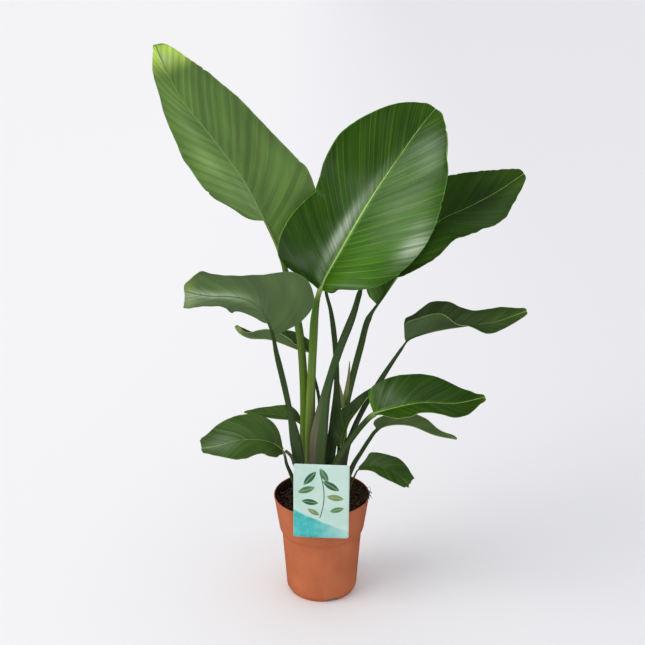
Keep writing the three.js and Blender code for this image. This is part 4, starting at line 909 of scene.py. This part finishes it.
    def blade(self, finishes):
        """The blade as a sheet that a modifier makes thick."""
        rows = max(40, round(self.blade_length / 3.2))
        cols = max(7, round(max(self.widest) / 5))
        # rows lie closer together at both ends, and columns towards the margins
        eased = [0.5 - 0.5 * math.cos(math.pi * i / rows) for i in range(rows + 1)]
        us = [0.45 * (i / rows) + 0.55 * e for i, e in enumerate(eased)]
        vs = [1 - (1 - j / cols) ** 1.25 for j in range(cols + 1)]
        made = [self.row(u) for u in us]

        def parts(i, j):
            j = cols - j  # from the right margin to the left one, so that the faces look up
            return us[i], made[i], -1 if j < 0 else 1, vs[abs(j)]

        def where(i, j):
            return self.place(*parts(i, j))

        def uv(i, j):
            u, row, side, v = parts(i, j)
            d = v * row[1][1 if side > 0 else 0]
            return (self.vein(u, d) * MM + 0.37 * self.seed, side * d * MM)

        def paint(i, j):
            u, _, side, v = parts(i, j)
            return self.tones(u, side, v)

        bm = bmesh.new()
        place_grid(bm, rows, 2 * cols, where, uv, paint, ("tone", "tone_under"))
        name = self.name.replace("leaf_", "blade_")
        obj = piece(bm, name, finishes, [self.name], 75)
        wall = obj.modifiers.new("thickness", "SOLIDIFY")
        wall.thickness = BLADE_THICK * MM
        wall.offset = 0
        wall.material_offset = 1
        wall.material_offset_rim = 2

    def thickness(self, s):
        """Half width and half depth of the stalk or midrib at s."""
        a, b, r, end, run, neck = (*self.stalk, NECK)[:6]
        if s > self.neck_at:
            u = min(1.0, (s - self.neck_at) / self.blade_length)
            m = r * (MIDRIB * (1 - u) ** 0.9 + (neck - MIDRIB) * math.exp(-u / 0.03))
            return max(MIDRIB_END, m), max(MIDRIB_END, m)
        thin = r * (1 - (1 - neck) * smooth(1 - (self.neck_at - s) / NECK_RUN))
        k = smooth((end - s) / run)
        return mix(thin, a, k), mix(thin, b, k)

    def stem(self, finish):
        """The stalk and the midrib, and any loose tip of its sheath."""
        stations = [(s, None) for s in spread(0, self.neck_at, 7)]
        stations += [(0, u) for u in spread(0, 1, 7 / self.blade_length)[1:]]
        rings = []
        for s, u in stations:
            if u is None:
                at, _, up, across = self.line.frame(s, self.face[0])
            else:
                s = self.neck_at + u * self.blade_length
                at, _, up, across = self.frame(u)
            a, b = self.thickness(s)
            blade = smooth((s - self.neck_at + 12) / 45)
            a *= mix(1, self.look["wide_rib"], blade)
            sheath = smooth((a / self.stalk[2] - 1) / 0.8)
            wobble = 1 + 0.03 * rough(s / 30, self.seed, 7)
            groove = mix(mix(0.22, 0.4, sheath), 0.12, blade)
            high = b * mix(1, 0.42, blade) + 0.2 * blade
            rings.append((at, across, up, a * wobble, high * wobble, b * wobble, groove, s))
        low, middle, top, flank = STALK_TONES[self.look["stalk"]]

        def paint(i, j):
            a, s = rings[i][3], rings[i][7]
            turn = 2 * math.pi * j / STALK_SIDES
            out, lift = math.cos(turn), math.sin(turn)
            k = s / self.neck_at
            colour = tinted(tinted(low, middle, smooth(k / 0.5)), top, smooth((k - 0.5) / 0.5))
            sheath = smooth((a / self.stalk[2] - 1) / 0.5)
            if flank:
                side = smooth((0.25 + self.look["flank"] * out) / 0.7)
                colour = tinted(colour, flank, side * smooth((0.62 - k) / 0.25))
            colour = tinted(colour, SHEATH_EDGE, 0.6 * sheath * smooth((abs(out) - 0.9) / 0.1))
            blade = smooth((s - self.neck_at - self.look["late"] + 25) / 50)
            rib = tinted(MIDRIB_UNDER, MIDRIB_UPPER, smooth((lift + 0.2) / 0.4))
            rib = tuple(c * self.look["rib"] for c in rib)
            return [tinted(colour, rib, blade)]

        bm = bmesh.new()
        tube(bm, rings, STALK_SIDES, paint)
        for points, half in self.tongues:
            line = Line(points)
            flap = []
            for k in spread(0, 1, 0.08):
                at, _, up, across = line.frame(k * line.length, (0, -1, 0.1))
                a, thick = half * (1 - k) ** 0.8 + 0.4, 0.5 * (1 - k) + 0.35
                flap.append((at, across, up, a, thick, thick, 0.3, k * line.length))
            tube(bm, flap, 10, lambda i, j: [tinted(*TONGUE_TONES, i / 12)])
        piece(bm, self.name.replace("leaf_", "stalk_"), [finish], [self.name], 60)


def arc(first, bend, v):
    """Where a strip ends that starts level, turned by first, and bends evenly on."""
    if abs(bend) < 1e-4:
        return math.cos(first) * v, math.sin(first) * v
    last = first + bend * v
    return (math.sin(last) - math.sin(first)) / bend, (math.cos(first) - math.cos(last)) / bend


def spread(first, last, step):
    """Evenly spaced values from first to last, about step apart."""
    count = max(1, round((last - first) / step))
    return [first + (last - first) * i / count for i in range(count + 1)]


SKINS = {
  "gloss": leaf_finish("leaf_upper_glossy", (0.021, 0.074, 0.0004), (0.10, 0.26, 0.004), 0.27,
                       band=0.09, line=0.4, relief=0.0002, pleat=0.03, coat=0.1),
  "plain": leaf_finish("leaf_upper", (0.03, 0.072, 0.005), (0.11, 0.21, 0.03), 0.38,
                       band=0.14, line=0.35, relief=0.00015, pleat=0.04),
  "matt": leaf_finish("leaf_upper_matt", (0.022, 0.062, 0.002), (0.06, 0.13, 0.015), 0.5,
                      band=0.16, line=0.3, relief=0.00015, pleat=0.05, shine=0.12),
}
under = leaf_finish("leaf_under", (0.095, 0.175, 0.036), (0.17, 0.27, 0.08), 0.5,
                    band=0.1, line=0.15, relief=0.00015, pleat=0.03, side="tone_under")
pleated = leaf_finish("leaf_under_pleated", (0.085, 0.172, 0.03), (0.19, 0.30, 0.08), 0.5,
                      band=0.14, line=0.25, relief=0.0002, pleat=0.09, side="tone_under")
margin = edge_finish()
stalk_skin = stalk_finish()
leaves = [Leaf(name) for name in LEAVES]
for leaf in leaves:
    leaf.blade([SKINS[leaf.look["skin"]], pleated if leaf.look["pleated"] else under, margin])
    leaf.stem(stalk_skin)


# ---- the cut stalk of an old leaf -----------------------------------------------------------
OLD_STALK = [(-31, -60, 146), (-37, -61, 230), (-47, -62, 275), (-52, -63, 291), (-61, -66, 302)]


def old_stalk():
    line = Line(OLD_STALK)
    rings = []
    for s in spread(0, line.length, 5):
        at, _, up, across = line.frame(s, (0, -1, 0.1))
        k = s / line.length
        r = mix(*OLD_STALK_RADIUS, k) * (1 + 0.05 * rough(s / 12, 3))
        groove = 0.2 + 0.4 * smooth((k - 0.7) / 0.3)
        rings.append((at, across, up, r, r * (1 - 0.25 * k), r, groove, s))
    bm = bmesh.new()
    tube(bm, rings, 16)
    piece(bm, "old_stalk_cut", [old_stalk_finish()], ["old_stalk"])


old_stalk()


# ---- pot ------------------------------------------------------------------------------------
# the pot's outline as (radius, height): the underside from its middle, the outside and the inside
POT_UNDERSIDE = [
    (0.0, 0.0), (13.6, 0.0), (14.2, 0.4), (15.8, RECESS - 0.4), (16.4, RECESS), (50.4, RECESS),
    (51.0, RECESS - 0.4), (52.2, 0.4), (52.8, 0.0), (58.0, 0.0), (FOOT_RADIUS, 0.4),
]
POT_OUTSIDE = [
    (58.7, 4.6), (59.2, 5.4), (61.7, 6.5), (62.7, 8.6), (63.2, 11.0), (63.4, 13.6), (67.1, 64.0),
    (70.8, 113.4), (71.0, 114.8), (71.5, 116.8), (73.1, 119.4), (74.5, 121.8), (75.3, 124.2),
    (75.8, 127.0), (80.0, 155.0), (84.1, 183.0), (84.25, 183.8), (84.7, 184.2), (85.0, 184.7),
    (85.0, 186.3), (84.8, 186.8), (84.4, 187.0), (83.5, 187.0), (83.15, 186.8),
]
POT_INSIDE = [
    (82.9, 186.2), (82.6, 183.8), (78.4, 155.6), (74.25, 127.8), (73.6, 125.0), (72.7, 122.6),
    (70.6, 119.2), (69.6, 117.2), (69.3, 115.8), (65.5, 65.0), (61.7, 14.4), (60.6, 10.6),
    (58.2, 7.8), (54.3, FLOOR_Z), (0.0, FLOOR_Z),
]


def turned(count, first):
    """Turns about the pot's middle, evenly spaced from first degrees on."""
    return [Matrix.Rotation(math.radians(first + 360 / count * i), 4, "Z") for i in range(count)]


def cutter(name, shape, places):
    """One mesh of all the places that are cut from the pot."""
    bm = bmesh.new()
    for matrix in places:
        shape(bm, matrix)
    return added(name, finished(bm, name))


def pot():
    bm = bmesh.new()
    outline = POT_UNDERSIDE + POT_OUTSIDE + POT_INSIDE
    corners = [bm.verts.new(Vector((r, 0, z)) * MM) for r, z in outline]
    line = [bm.edges.new(pair) for pair in zip(corners, corners[1:])]
    bmesh.ops.spin(bm, geom=corners + line, cent=(0, 0, 0), axis=(0, 0, 1), dvec=(0, 0, 0),
                   angle=2 * math.pi, steps=POT_TURNS, use_merge=True, use_duplicate=False)
    bmesh.ops.remove_doubles(bm, verts=bm.verts, dist=1e-6)
    bmesh.ops.recalc_face_normals(bm, faces=bm.faces)
    obj = piece(bm, "pot_shell", [pot_finish()], ["pot"], 50)

    def box(bm, matrix):
        bmesh.ops.create_cube(bm, size=1, matrix=matrix)

    def peg(bm, matrix):
        bmesh.ops.create_cone(bm, cap_ends=True, segments=32, radius1=DRAIN_HOLE_RADIUS * MM,
                              radius2=DRAIN_HOLE_RADIUS * MM, depth=8 * MM, matrix=matrix)

    size = (NOTCH_WIDTH * MM, NOTCH_DEPTH * MM, 2 * (RECESS - 0.01) * MM, 1)
    notch = Matrix.Translation((0, -(FOOT_RADIUS - 2) * MM, 0)) @ Matrix.Diagonal(size)
    hole = Matrix.Translation((DRAIN_CIRCLE * MM, 0, 5 * MM))
    tools = [
        cutter("cut_notches", box, [turn @ notch for turn in turned(NOTCHES, NOTCH_TURN)]),
        cutter("cut_holes", peg, [turn @ hole for turn in turned(DRAIN_HOLES, 180 / DRAIN_HOLES)]),
    ]
    for tool in tools:
        cut = obj.modifiers.new(tool.name, "BOOLEAN")
        cut.operation, cut.solver, cut.object = "DIFFERENCE", "EXACT", tool
    bpy.context.view_layer.update()
    shape = bpy.data.meshes.new_from_object(obj.evaluated_get(bpy.context.evaluated_depsgraph_get()))
    obj.modifiers.clear()
    obj.data = shape
    shape.name = "pot_shell"
    shape.set_sharp_from_angle(angle=math.radians(35))
    for tool in tools:
        bpy.data.objects.remove(tool)


pot()


# ---- soil -----------------------------------------------------------------------------------
SOIL_LUMPS = [(1.4, 9, 1), (0.9, 3.5, 5), (0.5, 1.6, 8)]  # height, size and variant


def soil_top(x, y):
    pile = SOIL_RISE * smooth((x - 10) / 60)
    wavy = math.sin(x * 0.21 + 1.3) * math.cos(y * 0.17 - 0.4) + 0.6 * math.sin(x * 0.37 - y * 0.29)
    lump = sum(height * rough(x / size, y / size, z) for height, size, z in SOIL_LUMPS)
    return SOIL_LEVEL + pile + SOIL_BUMP * wavy * 0.8 + lump


def inside_radius(z):
    """How far the soil reaches at z."""
    wall = POT_INSIDE[-2::-1]  # from the floor up
    for (r0, z0), (r1, z1) in zip(wall, wall[1:]):
        if z <= z1:
            return mix(r0, r1, (z - z0) / (z1 - z0)) - GAP
    return 82.0


def soil():
    """The bed: rings of its top, then down along the pot's wall, and the bottom."""
    rings, turns = 44, 160
    deep = [160, 145, 127.8, 119, 65, 14.4, 9]  # heights of the rings along the wall

    def where(i, j):
        turn = 2 * math.pi * j / turns
        c, s = math.cos(turn), math.sin(turn)
        if i <= rings:
            edge = SOIL_LEVEL + SOIL_RISE * smooth((75 * c - 10) / 60)
            r = (inside_radius(edge) - SOIL_EASE) * (i / rings) ** 0.9
            return Vector((r * c, r * s, soil_top(r * c, r * s)))
        i -= rings + 1
        if i < len(deep):
            r = inside_radius(deep[i]) - (1.5 if deep[i] < 10 else SOIL_EASE)
            return Vector((r * c, r * s, deep[i]))
        r = 50 if i == len(deep) else 0
        return Vector((r * c, r * s, FLOOR_Z + GAP))

    bm = bmesh.new()
    place_grid(bm, rings + len(deep) + 2, turns, where, close=True)
    bmesh.ops.recalc_face_normals(bm, faces=bm.faces)
    piece(bm, "soil_bed", [soil_finish()], ["soil"], 80)


STALK_FEET = [(leaf.points[0][0], leaf.points[0][1], leaf.stalk[0]) for leaf in leaves]


def soil_spot(rng, lean=0.0):
    """A place on the soil clear of the stalks; lean draws it to the right."""
    while True:
        r, turn = CRUMB_REACH * math.sqrt(rng.random()), rng.uniform(0, 2 * math.pi)
        x, y = r * math.cos(turn), r * math.sin(turn)
        clear = all(math.hypot(x - a, y - b) > 0.8 * c + 1 for a, b, c in STALK_FEET)
        if clear and rng.random() > lean * (0.5 - x / 160):
            return x, y


PEAT_TONES = [(0.030, 0.018, 0.010), (0.015, 0.010, 0.006), (0.06, 0.035, 0.018), (0.09, 0.06, 0.035)]
GRIT_TONE = (0.34, 0.30, 0.20)


def crumbs():
    """Lumps of peat and a few pale grains of grit, half sunk in the soil."""
    rng = random.Random(7)
    bm = bmesh.new()
    tone = tone_layer(bm, "tone")
    for _ in range(CRUMBS):
        x, y = soil_spot(rng)
        grit = rng.random() < 0.14
        size = rng.uniform(0.5, 1.1) if grit else 0.7 + 2.9 * rng.random() ** 2.5
        colour = GRIT_TONE if grit else rng.choice(PEAT_TONES)
        turn, axis = rng.uniform(0, 6.28), Vector((rng.random(), rng.random(), 1)).normalized()
        turn = Matrix.Rotation(turn, 4, axis)
        form = Matrix.Diagonal((rng.uniform(0.7, 1.3), rng.uniform(0.7, 1.3), rng.uniform(0.5, 0.9), 1))
        at = Matrix.Translation(Vector((x, y, soil_top(x, y) + 0.3 * size)) * MM)
        made = bmesh.ops.create_icosphere(bm, subdivisions=1 if size < 3.2 else 2, radius=size * MM,
                                          matrix=at @ turn @ form)["verts"]
        for v in made:
            v[tone] = (*colour, 1)
            v.co += Vector([rng.uniform(-0.16, 0.16) * size * MM for _ in range(3)])
    piece(bm, "soil_crumbs", [crumb_finish()], ["soil"], 30)


COIR_TONES = [(0.06, 0.028, 0.014), (0.2, 0.12, 0.06)]


def fibres():
    """Coir strands that lie on the soil, most of them heaped on the right."""
    rng = random.Random(11)
    bm = bmesh.new()
    for n in range(STRANDS):
        over = n < STRANDS_OVER
        if over:
            turn = math.radians(rng.uniform(-26, 7))
            x, y = STRANDS_OVER_FROM * math.cos(turn), STRANDS_OVER_FROM * math.sin(turn)
            heading = turn + rng.choice((-1, 1)) * rng.uniform(0, 0.7)
            length = rng.uniform(13, 22)
        else:
            x, y = soil_spot(rng, 0.9)
            heading = rng.uniform(0, 2 * math.pi)
            length = rng.uniform(12, 42)
        z = soil_top(x, y) + rng.uniform(0.5, 5 if x > 20 else 1.5)
        points, bend = [], rng.uniform(-0.05, 0.05)
        for _ in range(7):
            points.append((x, y, z))
            heading += bend * 5 + rng.uniform(-0.3, 0.3)
            step = length / 6
            nx, ny = x + step * math.cos(heading), y + step * math.sin(heading)
            if not over and math.hypot(nx, ny) > CRUMB_REACH:
                heading += 2.2  # it turns back at the wall
                nx, ny = x + step * math.cos(heading), y + step * math.sin(heading)
            x, y = nx, ny
            lie = mix(z, soil_top(x, y) + 1.4, 0.5) + rng.uniform(-0.7, 0.9)
            out = math.hypot(x, y)
            if over:
                lie = max(z + rng.uniform(0.2, 2.4), soil_top(x, y) + 0.4)
            if out > RIM_INSIDE:
                lie = max(lie, POT_HEIGHT + 1.2)
            if out > RIM_OUTSIDE:
                lie = z - step * rng.uniform(0.9, 1.6)
            z = lie
        line = Line(points)
        colour = tinted(*COIR_TONES, rng.random() * (0.4 if over else 1))
        r = rng.uniform(0.5, 1.0) if over else rng.uniform(0.22, 0.55)
        rings = []
        for s in spread(0, line.length, line.length / 9):
            at, _, up, across = line.frame(s, (0.1, 0.1, 1))
            w = r * (1 - 0.6 * (s / line.length) ** 2)
            rings.append((at, across, up, w, w, w, 0, s))
        tube(bm, rings, 4, lambda i, j: [colour])
    piece(bm, "soil_fibres", [crumb_finish()], ["soil"], 60)


soil()
crumbs()
fibres()


# ---- label ----------------------------------------------------------------------------------
FOLD_Z = LABEL_FOOT_Z + LABEL_HEIGHT - 1.2
STRIP_COLUMNS = 6
STRIP_PATH = [  # y and z of the strip, from behind the card over the rim into the soil
    (LABEL_FRONT_Y + 0.9, FOLD_Z - 7), (LABEL_FRONT_Y + 0.9, FOLD_Z - 2), (LABEL_FRONT_Y + 1.1, FOLD_Z - 0.5),
    (-88.8, FOLD_Z + 0.1), (-88.1, FOLD_Z - 0.6), (-86.9, 260), (-84.0, 225), (-80.2, 190), (-76.4, 166),
    (-72.6, 142),
]


def curled(x, z):
    """How far back a place on the card lies because of its bow."""
    share = 0.35 + 0.65 * (1 - (z - LABEL_FOOT_Z) / LABEL_HEIGHT)
    return -LABEL_BOW * (1 - (2 * x / LABEL_WIDTH) ** 2) * share + 0.9


def strip_place(i, j):
    x, (y, z) = (j / STRIP_COLUMNS - 0.5) * STRIP_WIDTH, STRIP_PATH[i]
    if i < 3:  # here the strip takes up the card's turn
        y += 0.5 - x * math.tan(math.radians(LABEL_TURN))
    return Vector((x, y, z))


def label():
    """The card with its rounded corners and the strip folded back over the rim."""
    w, h = LABEL_WIDTH / 2, LABEL_HEIGHT
    bm = bmesh.new()
    corners = [bm.verts.new(Vector(p) * MM) for p in ((-w, 0, 0), (w, 0, 0), (w, 0, h), (-w, 0, h))]
    bm.faces.new(corners)
    bmesh.ops.bevel(bm, geom=corners, offset=LABEL_CORNER * MM, offset_type="OFFSET", segments=6,
                    profile=0.5, affect="VERTICES", material=-1)
    for axis, lowest, highest, step in (((1, 0, 0), -w, w, 4), ((0, 0, 1), 0, h, 6)):
        for value in spread(lowest, highest, step)[1:-1]:
            bmesh.ops.bisect_plane(bm, geom=bm.verts[:] + bm.edges[:] + bm.faces[:], dist=1e-7,
                                   plane_co=Vector(axis) * value * MM, plane_no=axis)
    for v in bm.verts:
        v.co.y = curled(v.co.x / MM, v.co.z / MM + LABEL_FOOT_Z) * MM
    tilt = Matrix.Rotation(math.radians(LABEL_TILT), 4, "Y")
    turn = Matrix.Rotation(math.radians(-LABEL_TURN), 4, "Z")
    foot = Vector((LABEL_SHIFT, LABEL_FRONT_Y + LABEL_THICK / 2, LABEL_FOOT_Z)) * MM
    bmesh.ops.transform(bm, matrix=Matrix.Translation(foot) @ turn @ tilt, verts=bm.verts)
    front = set(bm.faces)
    place_grid(bm, len(STRIP_PATH) - 1, STRIP_COLUMNS, strip_place)
    bmesh.ops.recalc_face_normals(bm, faces=[face for face in bm.faces if face not in front])
    skins = [label_finish(), bare_card_finish()]
    obj = piece(bm, "picture_label", skins, ["plant_label"], 60)
    card = obj.modifiers.new("card", "SOLIDIFY")
    card.thickness, card.offset = LABEL_THICK * MM, 0
    card.material_offset = card.material_offset_rim = 1
    trim = obj.modifiers.new("trim", "BEVEL")
    trim.width, trim.segments, trim.limit_method, trim.angle_limit = 0.15 * MM, 1, "ANGLE", 1.0


label()


# ---- camera, light and floor, in metres -----------------------------------------------------
LAMPS = [  # name, place, what it points at, width and height, power
    ("window", (0.81, -2.49, 0.61), (0.05, 0, 0.7), (0.6, 0.5), 2.2),
    ("skylight", (-0.55, -2.42, 1.42), (0.05, 0, 0.7), (0.6, 0.5), 2.2),
    ("low_card", (0.98, -1.2, 0.12), (0, 0, 0.6), (0.5, 0.4), 1.2),
    ("softbox", (-0.9, -1.6, 2.1), (0.1, 0, 0.4), (0.8, 0.8), 4),
]


def aim(obj, at, target):
    obj.location = at
    obj.rotation_euler = (Vector(target) - Vector(at)).to_track_quat("-Z", "Y").to_euler()


def lamp(name, at, target, size, power):
    data = bpy.data.lights.new(name, "AREA")
    data.shape, data.energy = "RECTANGLE", power
    data.size, data.size_y = size
    obj = added(name, data)
    obj.visible_diffuse = False  # it only gives the sheen on the leaves and the pot
    aim(obj, at, target)


def pale_floor():
    bm = bmesh.new()
    bmesh.ops.create_grid(bm, x_segments=1, y_segments=1, size=40)
    mesh = finished(bm, "floor")
    f = Finish("pale_floor", (0.87, 0.87, 0.885), 0.9, Specular_IOR_Level=0.1)
    # painted shade: the floor darkens towards the right
    across = f.split(f.position())[0]
    f.set("Base Color", f.blend(f.ramp(across, -0.6, 1.0), (0.89, 0.89, 0.9), (0.79, 0.79, 0.81)))
    mesh.materials.append(f.material)
    floor = added("floor", mesh)
    floor.visible_glossy = False  # otherwise the leaves turn grey with it


def studio():
    world = bpy.data.worlds.new("studio")
    world.use_nodes = True
    sky = world.node_tree.nodes["Background"]
    sky.inputs["Color"].default_value = (0.965, 0.97, 1.0, 1)
    # the dark side of the studio shows only in reflections
    path = world.node_tree.nodes.new("ShaderNodeLightPath")
    dim = world.node_tree.nodes.new("ShaderNodeMapRange")
    dim.inputs["To Min"].default_value, dim.inputs["To Max"].default_value = 0.82, 0.05
    world.node_tree.links.new(path.outputs["Is Glossy Ray"], dim.inputs["Value"])
    world.node_tree.links.new(dim.outputs[0], sky.inputs["Strength"])
    bpy.context.scene.world = world


def daylight():
    sun = bpy.data.lights.new("daylight", "SUN")
    sun.energy, sun.angle, sun.color = 1.34, math.radians(45), (1, 0.985, 0.96)
    obj = added("daylight", sun)
    obj.visible_glossy = False
    aim(obj, (-2.2, -1.0, 2.0), (0, 0, 0.2))


def camera():
    lens = bpy.data.cameras.new("camera")
    lens.sensor_fit, lens.sensor_width = "HORIZONTAL", SENSOR
    lens.lens = SENSOR * FOCAL / IMAGE_SIDE
    lens.clip_end = 100
    obj = added("camera", lens)
    obj.location = CAMERA_AT
    obj.rotation_euler = (math.radians(90 - CAMERA_DOWN), 0, 0)
    bpy.context.scene.camera = obj


pale_floor()
studio()
daylight()
for settings in LAMPS:
    lamp(*settings)
camera()
bpy.context.scene.view_settings.view_transform = "Standard"
bpy.context.scene.view_settings.look = "None"

bpy.context.view_layer.update()
